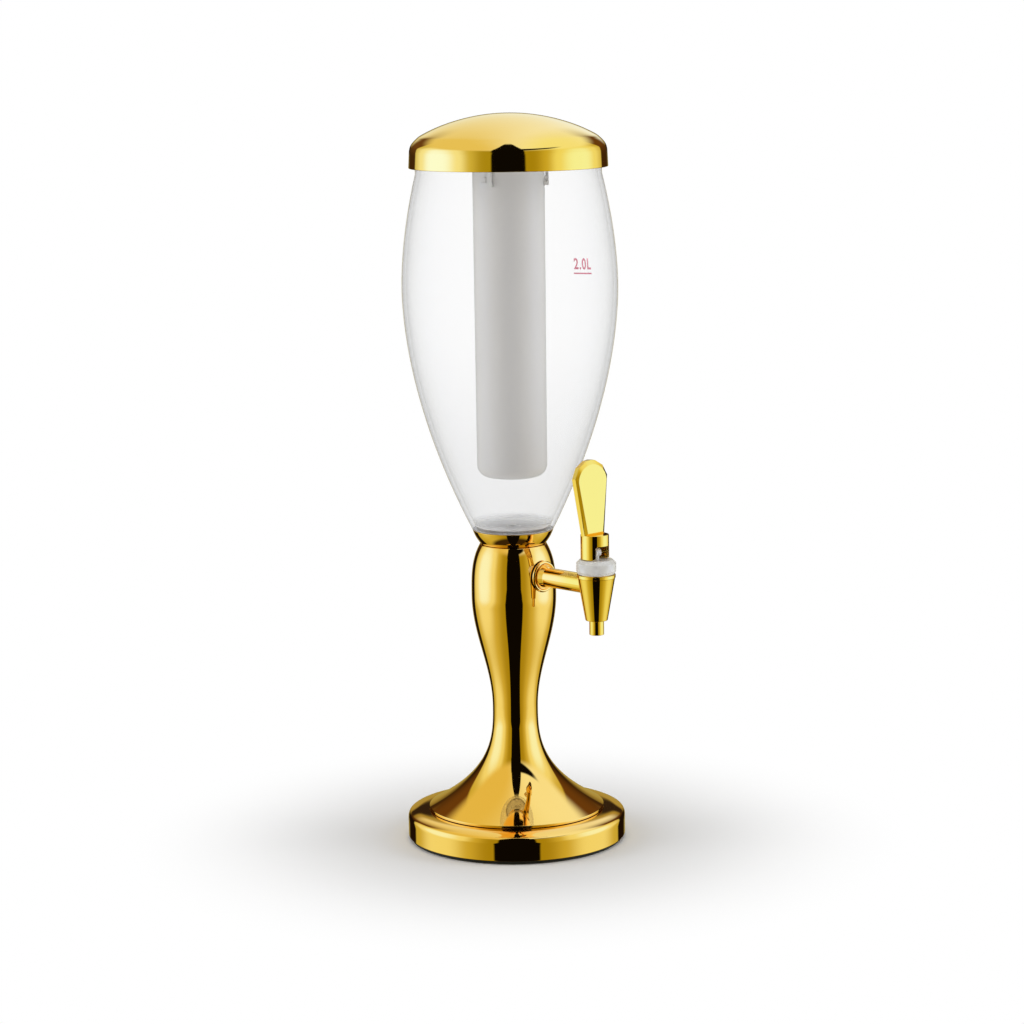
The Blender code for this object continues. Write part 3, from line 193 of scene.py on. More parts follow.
class Graph:
    """The node tree of a new material or of the world."""

    def __init__(self, name, world=None):
        self.owner = world or bpy.data.materials.new(name)
        self.owner.use_nodes = True
        self.tree = self.owner.node_tree
        self.tree.nodes.clear()
        kind = "ShaderNodeOutputWorld" if world else "ShaderNodeOutputMaterial"
        self.out = self.tree.nodes.new(kind).inputs["Surface"]

    def facing(self):
        return self.add("ShaderNodeLayerWeight", {}, {"Blend": 0.5}, "Facing")

    def add(self, kind, settings=None, sockets=None, out=0):
        """A node with its settings made first, then the values or links of its sockets."""
        node = self.tree.nodes.new(kind)
        for key, value in (settings or {}).items():
            if key == "stops":
                ramp = node.color_ramp
                while len(ramp.elements) < len(value):
                    ramp.elements.new(0.5)
                for element, (place, colour) in zip(ramp.elements, value):
                    element.position, element.color = place, (*colour, 1.0)
            else:
                setattr(node, key, value)
        for key, value in (sockets or {}).items():
            if isinstance(value, Value):
                self.tree.links.new(value.socket, node.inputs[key])
            elif isinstance(value, (tuple, list)) and len(value) == 3 and node.inputs[key].type == "RGBA":
                node.inputs[key].default_value = (*value, 1.0)
            else:
                node.inputs[key].default_value = value
        return Value(self, node.outputs[out])

    def place(self):
        return self.add("ShaderNodeTexCoord", out="Object")

    def noise(self, scale, detail=2.0, vector=None, roughness=0.5):
        return self.add("ShaderNodeTexNoise", {}, {"Vector": vector or self.place(), "Scale": scale,
                                                   "Detail": detail, "Roughness": roughness}, "Fac")

    def axes(self, vector):
        split = self.add("ShaderNodeSeparateXYZ", {}, {"Vector": vector})
        return [Value(self, socket) for socket in split.socket.node.outputs]

    def ease(self, value, low, high, to_low=0.0, to_high=1.0):
        return self.add("ShaderNodeMapRange", {"interpolation_type": "SMOOTHSTEP"},
                        {"Value": value, "From Min": low, "From Max": high, "To Min": to_low,
                         "To Max": to_high})

    def band(self, value, low, high, soft):
        return self.ease(value, low - soft, low + soft) * self.ease(value, high + soft, high - soft)

    def blend(self, factor, first, second):
        return self.add("ShaderNodeMix", {"data_type": "RGBA"}, {"Factor": factor, 6: first, 7: second}, 2)

    def bump(self, height, strength, distance):
        return self.add("ShaderNodeBump", {}, {"Height": height, "Strength": strength, "Distance": distance})

    def shader(self, kind, settings=None, **sockets):
        return self.add(kind, settings, {key.replace("_", " "): value for key, value in sockets.items()})

    def finish(self, surface):
        self.tree.links.new(surface.socket, self.out)
        return self.owner


MATERIALS = {}


def finish_of(name):
    """A material by name, made the first time that it is asked for."""
    if name not in MATERIALS:
        MATERIALS[name] = FINISHES[name](bpy.context.scene.tower_finish)
    return MATERIALS[name]


def gold_plating(finish):
    """Mirror plating on moulded plastic: the faint swell of the moulding under a very even shine. Painted
    shade darkens the tint on the column and the tap, and most on the foot."""
    g = Graph("gold_plating")
    place = g.place()
    swell = g.noise(55.0, 1.0, place)
    haze = g.noise(900.0, 3.0, place)
    smears = g.ease(g.noise(32.0, 4.0, place), 0.52, 0.72)
    rough = haze * 0.015 + smears * 0.02 + (finish.gold_roughness - 0.01)
    x, y, z = g.axes(place)
    # Painted shade: the tint darkens on the column, more on the foot, and on the tap.
    tone = g.blend(g.ease(z, 0.26, 0.20), tuple(finish.gold), tuple(finish.column_shaded_gold))
    tone = g.blend(g.ease(z, 0.13, 0.05), tone, tuple(finish.foot_shaded_gold))
    tone = g.blend(g.ease(y, -0.040, -0.055) * g.ease(z, 0.10, 0.13), tone, tuple(finish.tap_shaded_gold))
    return g.finish(g.shader("ShaderNodeBsdfPrincipled", Base_Color=tone, Metallic=1.0,
                             Roughness=rough, Normal=g.bump(swell, 0.05, 0.0006)))


def clear_plastic(finish):
    """Clear wall: nearly nothing where it is looked through straight, grey where it is seen edge on. The
    thick floor shows the swirl that the mould's gate leaves."""
    g = Graph("clear_plastic")
    place = g.place()
    x, y, z = g.axes(place)
    facing = g.facing()
    inner = g.add("ShaderNodeAttribute", {"attribute_name": "inner_wall"}, {}, "Fac")
    edge = (facing ** 4.0 * 0.60 + facing ** 1.5 * 0.16) * (inner * -0.8 + 1.0)
    radius = (x * x + y * y) ** 0.5
    floor = g.ease(z, 0.2065, 0.2005) * g.ease(radius, 0.026, 0.0235)
    angle = y.math("ARCTAN2", x)
    warp = g.noise(70.0, 3.0, place)
    swirl = (radius * 900.0 + angle * 1.0 + warp * 9.0).math("SINE") * 0.5 + 0.5
    lower = g.ease(z, 0.33, 0.205)
    alpha = (edge + lower * 0.055 + floor * (swirl * 0.25 + 0.55) + 0.012).clamped()
    tone = g.blend(floor, tuple(finish.clear), (0.97, 0.97, 0.98))
    streaks = g.noise(26.0, 2.0, place)
    return g.finish(g.shader("ShaderNodeBsdfPrincipled", Base_Color=tone, Roughness=0.06,
                             IOR=1.49, Specular_IOR_Level=0.25, Alpha=alpha,
                             Normal=g.bump(streaks, 0.04, 0.0005)))


def frosted_plastic(finish):
    g = Graph("frosted_plastic")
    place = g.place()
    grain = g.noise(2600.0, 2.0, place)
    cloud = g.noise(40.0, 3.0, place)
    facing = g.facing()
    tone = g.blend(cloud, tuple(0.95 * c for c in finish.frost), tuple(finish.frost))
    # Painted light: towards the tube's edges the tint pales and the wall turns more see-through, standing in
    # for the side lamps lighting its flanks.
    tone = g.blend(facing ** 2.0, tone, (0.96, 0.95, 0.935))
    return g.finish(g.shader("ShaderNodeBsdfPrincipled", Base_Color=tone, Roughness=grain * 0.10 + 0.36,
                             IOR=1.5, Specular_IOR_Level=0.2, Alpha=facing ** 4.0 * -0.55 + 0.94,
                             Normal=g.bump(grain, 0.12, 0.00008)))


def frosted_cap(finish):
    """The tap's milky bonnet, with the fine vertical drag of its mould."""
    g = Graph("frosted_cap")
    place = g.place()
    grain = g.noise(1500.0, 3.0, place)
    cloud = g.noise(260.0, 3.0, place)
    tone = g.blend(cloud, (0.62, 0.60, 0.56), (0.90, 0.89, 0.86))
    return g.finish(g.shader("ShaderNodeBsdfPrincipled", Base_Color=tone, Roughness=grain * 0.2 + 0.22,
                             IOR=1.5, Normal=g.bump(cloud, 0.35, 0.0003)))


def plain_plastic(name, colour, rough, grain_scale, grain_depth):
    g = Graph(name)
    grain = g.noise(grain_scale, 3.0)
    tone = g.blend(grain, tuple(0.93 * c for c in colour), colour)
    return g.finish(g.shader("ShaderNodeBsdfPrincipled", Base_Color=tone, Roughness=grain * 0.12 + rough,
                             IOR=1.49, Normal=g.bump(grain, 0.15, grain_depth)))


def milky_silicone(finish):
    g = Graph("milky_silicone")
    cloud = g.noise(300.0, 2.0)
    tone = g.blend(cloud, (0.66, 0.66, 0.64), (0.74, 0.74, 0.72))
    return g.finish(g.shader("ShaderNodeBsdfPrincipled", Base_Color=tone, Roughness=cloud * 0.1 + 0.45))


def plain_steel(finish):
    """Nickel-plated steel of the screws, the pin, the nut and the spring."""
    g = Graph("plain_steel")
    place = g.place()
    drag = g.noise(1800.0, 2.0, place)
    stain = g.ease(g.noise(240.0, 3.0, place), 0.45, 0.75)
    tone = g.blend(stain, (0.62, 0.62, 0.63), (0.50, 0.48, 0.45))
    return g.finish(g.shader("ShaderNodeBsdfPrincipled", Base_Color=tone, Metallic=1.0,
                             Roughness=drag * 0.15 + 0.16, Normal=g.bump(drag, 0.1, 0.00005)))


def cast_weight(finish):
    g = Graph("cast_weight")
    place = g.place()
    grit = g.noise(700.0, 4.0, place)
    rust = g.ease(g.noise(90.0, 4.0, place), 0.5, 0.72)
    tone = g.blend(rust, (0.10, 0.10, 0.105), (0.16, 0.09, 0.05))
    return g.finish(g.shader("ShaderNodeBsdfPrincipled", Base_Color=tone, Metallic=0.6,
                             Roughness=grit * 0.2 + 0.55, Normal=g.bump(grit, 0.5, 0.0003)))


def mark_ink(finish):
    """Printed ink, a little thin in places."""
    g = Graph("mark_ink")
    thin = g.ease(g.noise(1400.0, 3.0), 0.3, 0.62)
    tone = g.blend(thin, tuple(min(1.0, c * 1.5 + 0.05) for c in finish.mark), tuple(finish.mark))
    return g.finish(g.shader("ShaderNodeBsdfPrincipled", Base_Color=tone, Roughness=0.5,
                             Alpha=thin * 0.2 + 0.75))


FINISHES = {
    "gold_plating": gold_plating,
    "clear_plastic": clear_plastic,
    "frosted_plastic": frosted_plastic,
    "frosted_cap": frosted_cap,
    "white_plastic": lambda finish: plain_plastic("white_plastic", (0.80, 0.79, 0.77), 0.30, 500.0, 0.0001),
    "black_plastic": lambda finish: plain_plastic("black_plastic", (0.02, 0.02, 0.02), 0.45, 800.0, 0.0002),
    "black_rubber": lambda finish: plain_plastic("black_rubber", (0.012, 0.012, 0.012), 0.70, 1100.0, 0.0003),
    "milky_silicone": milky_silicone,
    "plain_steel": plain_steel,
    "cast_weight": cast_weight,
    "mark_ink": mark_ink,
}


# shapes
def rounded(points, edge, step=2.5 * MM, closed=True):
    """A profile with its corners rounded and its runs split. A point is (radius, height) or, with a
    radius of its own for the corner, (radius, height, corner)."""
    places = [Vector((p[0], p[1])) for p in points]
    corners = [p[2] if len(p) > 2 else edge for p in points]
    count = len(places)
    path = []
    for i, (here, corner) in enumerate(zip(places, corners)):
        before, after = places[i - 1], places[(i + 1) % count]
        back, ahead = before - here, after - here
        on_end = not closed and i in (0, count - 1)
        turn = math.pi if on_end or min(back.length, ahead.length) < 1e-9 else back.angle(ahead)
        if corner <= 0.0 or turn > math.radians(168.0):
            path.append(here)
            continue
        reach = min(corner / math.tan(turn / 2), back.length * 0.45, ahead.length * 0.45)
        start, end = here + back.normalized() * reach, here + ahead.normalized() * reach
        steps = max(2, math.ceil((math.pi - turn) / math.radians(15.0)))
        path.append(here + back.normalized() * min(reach * 1.15, back.length * 0.49))
        for k in range(steps + 1):
            t = k / steps
            path.append((1 - t) ** 2 * start + 2 * t * (1 - t) * here + t ** 2 * end)
        path.append(here + ahead.normalized() * min(reach * 1.15, ahead.length * 0.49))
    if closed:
        path.append(path[0])
    split = [path[0]]
    for here in path[1:]:
        run = here - split[-1]
        pieces = max(1, math.ceil(run.length / step))
        start = split[-1].copy()
        split += [start + run * (k + 1) / pieces for k in range(pieces)]
    return split


def inset(profile, wall):
    """The profile moved in by the wall, square to itself. It runs down the outer side."""
    points = [Vector(point[:2]) for point in profile]
    moved = []
    for i, point in enumerate(points):
        run = points[min(i + 1, len(points) - 1)] - points[max(i - 1, 0)]
        inward = Vector((run.y, -run.x)).normalized()
        moved.append((max(point.x + inward.x * wall, 0.0), point.y + inward.y * wall))
    return moved


def painted(tree, shaped, source, result):
    """The tree, ended by nodes that make its instances real and give them their material."""
    real = tree.nodes.new("GeometryNodeRealizeInstances")
    tree.links.new(shaped.outputs[0], real.inputs[0])
    finish = tree.nodes.new("GeometryNodeSetMaterial")
    tree.links.new(real.outputs[0], finish.inputs["Geometry"])
    tree.links.new(source.outputs["Finish"], finish.inputs["Material"])
    tree.links.new(finish.outputs[0], result.inputs[0])
    return tree


def turning_tree():
    """Geometry Nodes that turn a profile curve, drawn in the XZ plane, about Z."""
    if "Turn profile" in bpy.data.node_groups:
        return bpy.data.node_groups["Turn profile"]
    tree = bpy.data.node_groups.new("Turn profile", "GeometryNodeTree")
    face = tree.interface
    face.new_socket("Profile", in_out="INPUT", socket_type="NodeSocketGeometry")
    face.new_socket("Steps", in_out="INPUT", socket_type="NodeSocketInt")
    face.new_socket("Finish", in_out="INPUT", socket_type="NodeSocketMaterial")
    face.new_socket("Turned", in_out="OUTPUT", socket_type="NodeSocketGeometry")
    nodes, links = tree.nodes, tree.links

    def add(kind, **settings):
        node = nodes.new(kind)
        for key, value in settings.items():
            setattr(node, key, value)
        return node

    def sum_of(operation, first, second):
        node = add("ShaderNodeMath", operation=operation)
        for slot, value in zip(node.inputs, (first, second)):
            if isinstance(value, (int, float)):
                slot.default_value = value
            else:
                links.new(value, slot)
        return node.outputs[0]

    source, result = add("NodeGroupInput"), add("NodeGroupOutput")
    size = add("GeometryNodeAttributeDomainSize", component="CURVE")
    links.new(source.outputs["Profile"], size.inputs[0])
    count = size.outputs["Point Count"]
    grid = add("GeometryNodeMeshGrid")
    links.new(sum_of("ADD", source.outputs["Steps"], 1.0), grid.inputs["Vertices X"])
    links.new(count, grid.inputs["Vertices Y"])
    index = add("GeometryNodeInputIndex").outputs[0]
    row = sum_of("MODULO", index, count)
    ring = sum_of("FLOOR", sum_of("DIVIDE", sum_of("ADD", index, 0.5), count), 0.0)
    angle = sum_of("DIVIDE", sum_of("MULTIPLY", ring, FULL_TURN), source.outputs["Steps"])
    sample = add("GeometryNodeSampleIndex", data_type="FLOAT_VECTOR", domain="POINT")
    links.new(source.outputs["Profile"], sample.inputs["Geometry"])
    links.new(add("GeometryNodeInputPosition").outputs[0], sample.inputs["Value"])
    links.new(row, sample.inputs["Index"])
    split = add("ShaderNodeSeparateXYZ")
    links.new(sample.outputs[0], split.inputs[0])
    joined = add("ShaderNodeCombineXYZ")
    links.new(sum_of("MULTIPLY", split.outputs[0], sum_of("COSINE", angle, 0.0)), joined.inputs[0])
    links.new(sum_of("MULTIPLY", split.outputs[0], sum_of("SINE", angle, 0.0)), joined.inputs[1])
    links.new(split.outputs[2], joined.inputs[2])
    moved = add("GeometryNodeSetPosition")
    links.new(grid.outputs["Mesh"], moved.inputs["Geometry"])
    links.new(joined.outputs[0], moved.inputs["Position"])
    merged = add("GeometryNodeMergeByDistance")
    merged.inputs["Distance"].default_value = 0.002 * MM
    links.new(moved.outputs[0], merged.inputs["Geometry"])
    return painted(tree, merged, source, result)


def set_input(modifier, name, value):
    for item in modifier.node_group.interface.items_tree:
        if item.name == name and item.in_out == "INPUT":
            modifier[item.identifier] = value


def baked(obj, name, material):
    """The object with its modifiers as a new plain mesh object, with its place in its mesh and its
    faces pointing out. The source object goes."""
    bpy.context.view_layer.update()
    mesh = bpy.data.meshes.new_from_object(obj.evaluated_get(bpy.context.evaluated_depsgraph_get()))
    mesh.transform(obj.matrix_world)
    bpy.data.objects.remove(obj, do_unlink=True)
    mesh.name = name
    mesh.materials.clear()
    mesh.materials.append(finish_of(material))
    piece = bpy.data.objects.new(name, mesh)
    bpy.context.scene.collection.objects.link(piece)
    tidy_mesh(mesh)
    return piece


def tidy_mesh(mesh, sharp=38.0):
    bm = bmesh.new()
    bm.from_mesh(mesh)
    bmesh.ops.remove_doubles(bm, verts=bm.verts, dist=0.001 * MM)
    bmesh.ops.dissolve_degenerate(bm, edges=bm.edges, dist=0.001 * MM)
    bmesh.ops.recalc_face_normals(bm, faces=bm.faces)
    for face in bm.faces:
        face.smooth = True
        face.material_index = 0
    bm.to_mesh(mesh)
    bm.free()
    mesh.set_sharp_from_angle(angle=math.radians(sharp))
    mesh.update()


def turned(name, profile, material, steps=None, matrix=None):
    """A solid of revolution made by the turning tree from a rounded profile."""
    curve = bpy.data.curves.new(name, "CURVE")
    curve.dimensions = "3D"
    spline = curve.splines.new("POLY")
    spline.points.add(len(profile) - 1)
    for point, (radius, height) in zip(spline.points, profile):
        point.co = (max(radius, 0.0), 0.0, height, 1.0)
    source = bpy.data.objects.new(name + "_profile", curve)
    bpy.context.scene.collection.objects.link(source)
    if matrix is not None:
        source.matrix_world = matrix
    modifier = source.modifiers.new("turn", "NODES")
    modifier.node_group = turning_tree()
    set_input(modifier, "Steps", steps or bpy.context.scene.tower_sizes.turn_steps)
    set_input(modifier, "Finish", finish_of(material))
    return baked(source, name, material)


def solid(name, build, material):
    """A mesh object from a function that fills a bmesh."""
    mesh = bpy.data.meshes.new(name)
    bm = bmesh.new()
    build(bm)
    bm.to_mesh(mesh)
    bm.free()
    obj = bpy.data.objects.new(name, mesh)
    bpy.context.scene.collection.objects.link(obj)
    mesh.materials.append(finish_of(material))
    return obj


def combined(name, body, others, operation, material):
    """The body joined with, or cut by, other closed pieces, which then go."""
    for other in others:
        boolean = body.modifiers.new(other.name, "BOOLEAN")
        boolean.operation, boolean.object = operation, other
    piece = baked(body, name, material)
    for other in others:
        bpy.data.objects.remove(other, do_unlink=True)
    return piece


def fit(piece, body, nodes=()):
    """The piece rides on its body and stands for its CAD nodes, which it hides."""
    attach(piece, body)
    if nodes:
        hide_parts(*nodes)
    return piece


LAY_ON_Y = Matrix.Rotation(math.pi / 2, 4, "X")
TAP_AXIS = Matrix.Translation((0.0, -TAP_REACH, 0.0))
ARM_AXIS = Matrix.Translation((0.0, 0.0, ARM_Z)) @ LAY_ON_Y
PIN_AXIS = Matrix.Translation((0.0, -TAP_REACH, PIN_Z)) @ Matrix.Rotation(math.pi / 2, 4, "Y")


# foot and column
def base_profile():
    edge = bpy.context.scene.tower_sizes.edge
    outer = [(BASE_HOLE_R, BASE_TOP_Z, edge)]
    bend = [(0.805, 0.997), (0.900, 0.970), (0.968, 0.905), (0.991, 0.850), (1.000, 0.765)]
    corner = smooth_run([(BASE_R * across, BASE_TOP_Z * up) for across, up in bend], 5)
    outer += [(BASE_R * 0.70, BASE_TOP_Z, 0.0)] + [(r, z, 0.0) for r, z in corner]
    outer.append((BASE_R, SHELL_LOW_Z, edge))
    inner = inset(outer, BASE_WALL)
    inner[0], inner[-1] = (BASE_HOLE_R, BASE_TOP_Z - BASE_WALL), (BASE_R - BASE_WALL, SHELL_LOW_Z)
    return rounded(outer + [(r, z, 0.0) for r, z in inner[::-1]], edge)


def smooth_run(points, per_span):
    """A finer run through the points, bent like a thin strip held at each of them."""
    places = [Vector(p) for p in points]
    path = []
    for i in range(len(places) - 1):
        p0, p1 = places[max(i - 1, 0)], places[i]
        p2, p3 = places[i + 1], places[min(i + 2, len(places) - 1)]
        for k in range(per_span):
            t = k / per_span
            path.append(0.5 * ((2 * p1) + (p2 - p0) * t + (2 * p0 - 5 * p1 + 4 * p2 - p3) * t ** 2
                               + (3 * p1 - p0 - 3 * p2 + p3) * t ** 3))
    return [tuple(p) for p in path] + [tuple(places[-1])]


def column_radius(z):
    """Outer radius: a flared foot, a waist, a swelling belly and a drawn-in top."""
    if z >= BELLY_Z:
        rise = (z - BELLY_Z) / (COLUMN_TOP_Z - BELLY_Z)
        return BELLY_R - (BELLY_R - COLUMN_TOP_R) * rise ** 3.2
    if z >= WAIST_Z:
        rise = (z - WAIST_Z) / (BELLY_Z - WAIST_Z)
        return WAIST_R + (BELLY_R - WAIST_R) * (1 - math.cos(math.pi * rise)) / 2
    fall = (WAIST_Z - z) / (WAIST_Z - FLARE_TOP_Z)
    return WAIST_R + (FLARE_R - WAIST_R) * fall ** 2.85


def column_profile():
    edge = bpy.context.scene.tower_sizes.edge
    rows = 130
    heights = [COLUMN_TOP_Z - (COLUMN_TOP_Z - FLARE_TOP_Z) * i / rows for i in range(rows + 1)]
    wall = [(column_radius(z), z) for z in heights]
    inner = [(r, z, 0.0) for r, z in inset(wall, COLUMN_WALL)
             if FLARE_LOW_Z + 0.5 * MM < z < SHELF_LOW_Z - 0.5 * MM and r < FLARE_R - FLARE_LAND - 0.5 * MM]
    outer = [(wall[0][0], wall[0][1], 0.8 * MM)] + [(r, z, 0.0) for r, z in wall[2:-1]]
    outer += [(FLARE_R, FLARE_TOP_Z, 0.5 * MM), (FLARE_R, FLARE_LOW_Z, 0.2 * MM)]
    foot = [(FLARE_R - FLARE_LAND, FLARE_LOW_Z, 0.0)]
    shelf = [(column_radius(SHELF_LOW_Z) - COLUMN_WALL, SHELF_LOW_Z, 0.0), (SPIGOT_HOLE_R, SHELF_LOW_Z, 0.0)]
    return rounded([(SPIGOT_HOLE_R, COLUMN_TOP_Z, 0.0)] + outer + foot + inner[::-1] + shelf, edge, 1.6 * MM)


def arm_rod(name, radius, near, far, edge=0.0):
    """A gold rod along the arm's axis, between two distances from the column's axis."""
    return turned(name, rod_profile(radius, near, far, edge), "gold_plating", 64, ARM_AXIS)


def cup_radius(z):
    fall = min(max((CUP_RIM_Z - z) / (CUP_RIM_Z - CUP_LOW_Z), 0.0), 1.0)
    return CUP_RIM_R + (CUP_NECK_R - CUP_RIM_R) * fall + CUP_BULGE * math.sin(math.pi * fall)


def cup_profile():
    height = CUP_RIM_Z - CUP_LOW_Z
    slant = math.hypot(height, CUP_RIM_R - CUP_NECK_R) / height
    heights = [CUP_RIM_Z - height * i / 14 for i in range(15)]
    outer = [(cup_radius(z), z, 0.0) for z in heights]
    outer[0], outer[-1] = (*outer[0][:2], 0.5 * MM), (*outer[-1][:2], 0.5 * MM)
    inner = [(cup_radius(z) - CUP_WALL * slant, z, 0.0) for z in heights[:-3]]
    inner[0] = (*inner[0][:2], 0.5 * MM)
    floor = [(SPIGOT_HOLE_R, CUP_LOW_Z, 0.0), (SPIGOT_HOLE_R, CUP_FLOOR_Z, 0.0)]
    return rounded(outer + floor + inner[::-1], 0.3 * MM)


# container
def tank_radius(z):
    """Outer radius of the container: it swells to its belly and draws in again to the mouth."""
    if z >= TANK_BELLY_Z:
        rise = (z - TANK_BELLY_Z) / (TANK_SHOULDER_Z - TANK_BELLY_Z)
        return TANK_BELLY_R - (TANK_BELLY_R - TANK_SHOULDER_R) * rise ** 1.8
    fall = (TANK_BELLY_Z - z) / (TANK_BELLY_Z - TANK_FOOT_Z)
    return TANK_BELLY_R - (TANK_BELLY_R - TANK_FOOT_R) * fall ** 1.83


def tank_profile():
    rows = 90
    heights = [TANK_SHOULDER_Z - (TANK_SHOULDER_Z - TANK_FOOT_Z) * i / rows for i in range(rows + 1)]
    outer = [(TANK_MOUTH_R, TANK_MOUTH_Z, 0.5 * MM)] + [(tank_radius(z), z, 0.0) for z in heights]
    outer[-1] = (*outer[-1][:2], 0.3 * MM)
    inner = [(r, z, 0.0) for r, z in inset(outer, TANK_WALL) if z > TANK_FLOOR_Z + 3.2 * MM]
    inner[0] = (TANK_MOUTH_R - TANK_WALL, TANK_MOUTH_Z, 0.5 * MM)
    corner = inner[-1][0] - (inner[-1][1] - TANK_FLOOR_Z) / 2
    floor = [(SPIGOT_BORE_R, TANK_FLOOR_Z, 0.5 * MM), (corner, TANK_FLOOR_Z, 2.2 * MM)]
    height = CUP_RIM_Z - CUP_LOW_Z
    slant = math.hypot(height, CUP_RIM_R - CUP_NECK_R) / height
    gap = (CUP_WALL + 0.3 * MM) * slant
    recess = GASKET_OUTER_R + 0.3 * MM
    foot = [(cup_radius(CUP_RIM_Z) - gap, TANK_FOOT_Z, 0.0), (cup_radius(GASKET_Z) - gap, GASKET_Z, 0.3 * MM),
            (recess, GASKET_Z, 0.0), (recess, SPIGOT_ROOT_Z, 0.0), (SPIGOT_R, SPIGOT_ROOT_Z, 0.0),
            (SPIGOT_R, SPIGOT_END_Z, 0.3 * MM), (NIPPLE_R, SPIGOT_END_Z, 0.0),
            (NIPPLE_R, NIPPLE_LOW_Z, 0.3 * MM), (SPIGOT_BORE_R, NIPPLE_LOW_Z, 0.0)]
    return rounded(floor + inner[::-1] + outer + foot, 0.3 * MM)


# lid
LID_SHARES = ((0.0, 1.0), (0.17, 0.986), (0.33, 0.946), (0.48, 0.885), (0.62, 0.807), (0.75, 0.713),
              (0.873, 0.600), (0.921, 0.533), (0.957, 0.464), (0.980, 0.397), (0.991, 0.318), (1.0, 0.0))


def lid_profile():
    height = LID_TOP_Z - LID_RIM_Z
    shares = smooth_run([(-0.17, 0.986)] + list(LID_SHARES[:-1]), 8)[8:]
    shares = [(max(across, 0.0), up) for across, up in shares]
    outer = [(LID_R * across, LID_RIM_Z + height * up, 0.0) for across, up in shares]
    outer.append((LID_R, LID_RIM_Z, 0.45 * MM))
    inner = inset(outer, LID_WALL)
    inner[0], inner[-1] = (0.0, LID_TOP_Z - LID_WALL), (LID_R - LID_WALL, LID_RIM_Z)
    return rounded(outer + [(r, z, 0.0) for r, z in inner[::-1]], 0.3 * MM, closed=False)


def liner_profile():
    return rounded([(0.0, LINER_TOP_Z, 0.0), (LINER_R, LINER_TOP_Z), (LINER_R, LINER_Z), (PLUG_R, LINER_Z, 0.0),
                    (PLUG_R, PLUG_LOW_Z), (PLUG_R - PLUG_WALL, PLUG_LOW_Z), (PLUG_R - PLUG_WALL, LINER_Z),
                    (0.0, LINER_Z, 0.0)], 0.4 * MM, closed=False)


def arc_wall(bm, inner, outer, low, high, start, width, steps=10):
    """A short piece of a ring wall."""
    rings = []
    for i in range(steps + 1):
        a = start + width * i / steps
        ring = [(inner, low), (outer, low), (outer, high), (inner, high)]
        rings.append([bm.verts.new((r * math.cos(a), r * math.sin(a), z)) for r, z in ring])
    for one, two in zip(rings, rings[1:]):
        for k in range(4):
            bm.faces.new((one[k], one[(k + 1) % 4], two[(k + 1) % 4], two[k]))
    bm.faces.new(rings[0])
    bm.faces.new(rings[-1][::-1])
    bmesh.ops.recalc_face_normals(bm, faces=bm.faces)


def hooks():
    pieces = []
    for i in range(HOOKS):
        turn = HOOK_TURN + FULL_TURN * i / HOOKS
        pieces.append(solid(f"hook_leg_{i}", lambda bm: arc_wall(
            bm, HOOK_INNER_R + 0.2 * MM, HOOK_OUTER_R - 0.2 * MM, HOOK_FOOT_Z + HOOK_FOOT_H / 2,
            LINER_Z + 1.0 * MM, turn, HOOK_LEG - 0.01), "white_plastic"))
        pieces.append(solid(f"hook_foot_{i}", lambda bm: arc_wall(
            bm, HOOK_INNER_R, HOOK_OUTER_R, HOOK_FOOT_Z, HOOK_FOOT_Z + HOOK_FOOT_H, turn - HOOK_FOOT,
            HOOK_FOOT + HOOK_LEG), "white_plastic"))
    return pieces


def ice_profile():
    corner = ICE_FOOT_R - ICE_CORNER_R
    bend = [math.pi / 2 * i / 14 for i in range(15)]
    outer = [(ICE_R, ICE_TOP_Z, 0.5 * MM)]
    outer += [(corner + ICE_CORNER_R * math.cos(a), ICE_FOOT_Z + ICE_CORNER_R * (1 - math.sin(a)), 0.0)
              for a in bend]
    outer.append((0.0, ICE_FOOT_Z, 0.0))
    inner = [(r, z, 0.0) for r, z in inset(outer, ICE_WALL)]
    inner[0] = (ICE_R - ICE_WALL, ICE_TOP_Z, 0.5 * MM)
    return rounded(inner[::-1] + outer, 0.3 * MM, closed=False)


def lugs():
    pieces = []
    for i in range(HOOKS):
        turn = HOOK_TURN + FULL_TURN * i / HOOKS - LUG_GAP - LUG
        pieces.append(solid(f"lug_{i}", lambda bm: arc_wall(
            bm, ICE_R - ICE_WALL / 2, HOOK_OUTER_R, LUG_Z, LUG_Z + LUG_H, turn, LUG), "frosted_plastic"))
    return pieces


# tap
def tap_profile():
    return rounded([
        (0.0, NECK_TOP_Z, 0.0), (NECK_R, NECK_TOP_Z), (NECK_R, BODY_TOP_Z, 0.0),
        (CONE_TOP_R, BODY_TOP_Z, 0.35 * MM), (CONE_TOP_R, BODY_TOP_Z - CONE_BAND_H, 0.2 * MM),
        (CONE_TOP_R - CONE_BAND_STEP, BODY_TOP_Z - CONE_BAND_H - 0.1 * MM, 0.2 * MM),
        (CONE_LOW_R, CONE_LOW_Z, 0.5 * MM), (NOZZLE_R, CONE_LOW_Z, 0.3 * MM),
        (NOZZLE_R, NOZZLE_LOW_Z, 0.35 * MM), (0.0, NOZZLE_LOW_Z, 0.0)], 0.3 * MM, 1.5 * MM, closed=False)


def arm_profile():
    root = ROSETTE_BACK + ROSETTE_THICK - ROSETTE_DISH + 0.3 * MM
    return rounded([
        (0.0, TAP_REACH, 0.0), (ARM_R, TAP_REACH, 0.0), (ARM_R, root + ARM_ROOT_LENGTH, 2.0 * MM),
        (ARM_ROOT_R, root, 0.3 * MM), (ARM_R, root, 0.0), (ARM_R, SHANK_END, 0.3 * MM),
        (0.0, SHANK_END, 0.0)], 0.3 * MM, 1.5 * MM, closed=False)


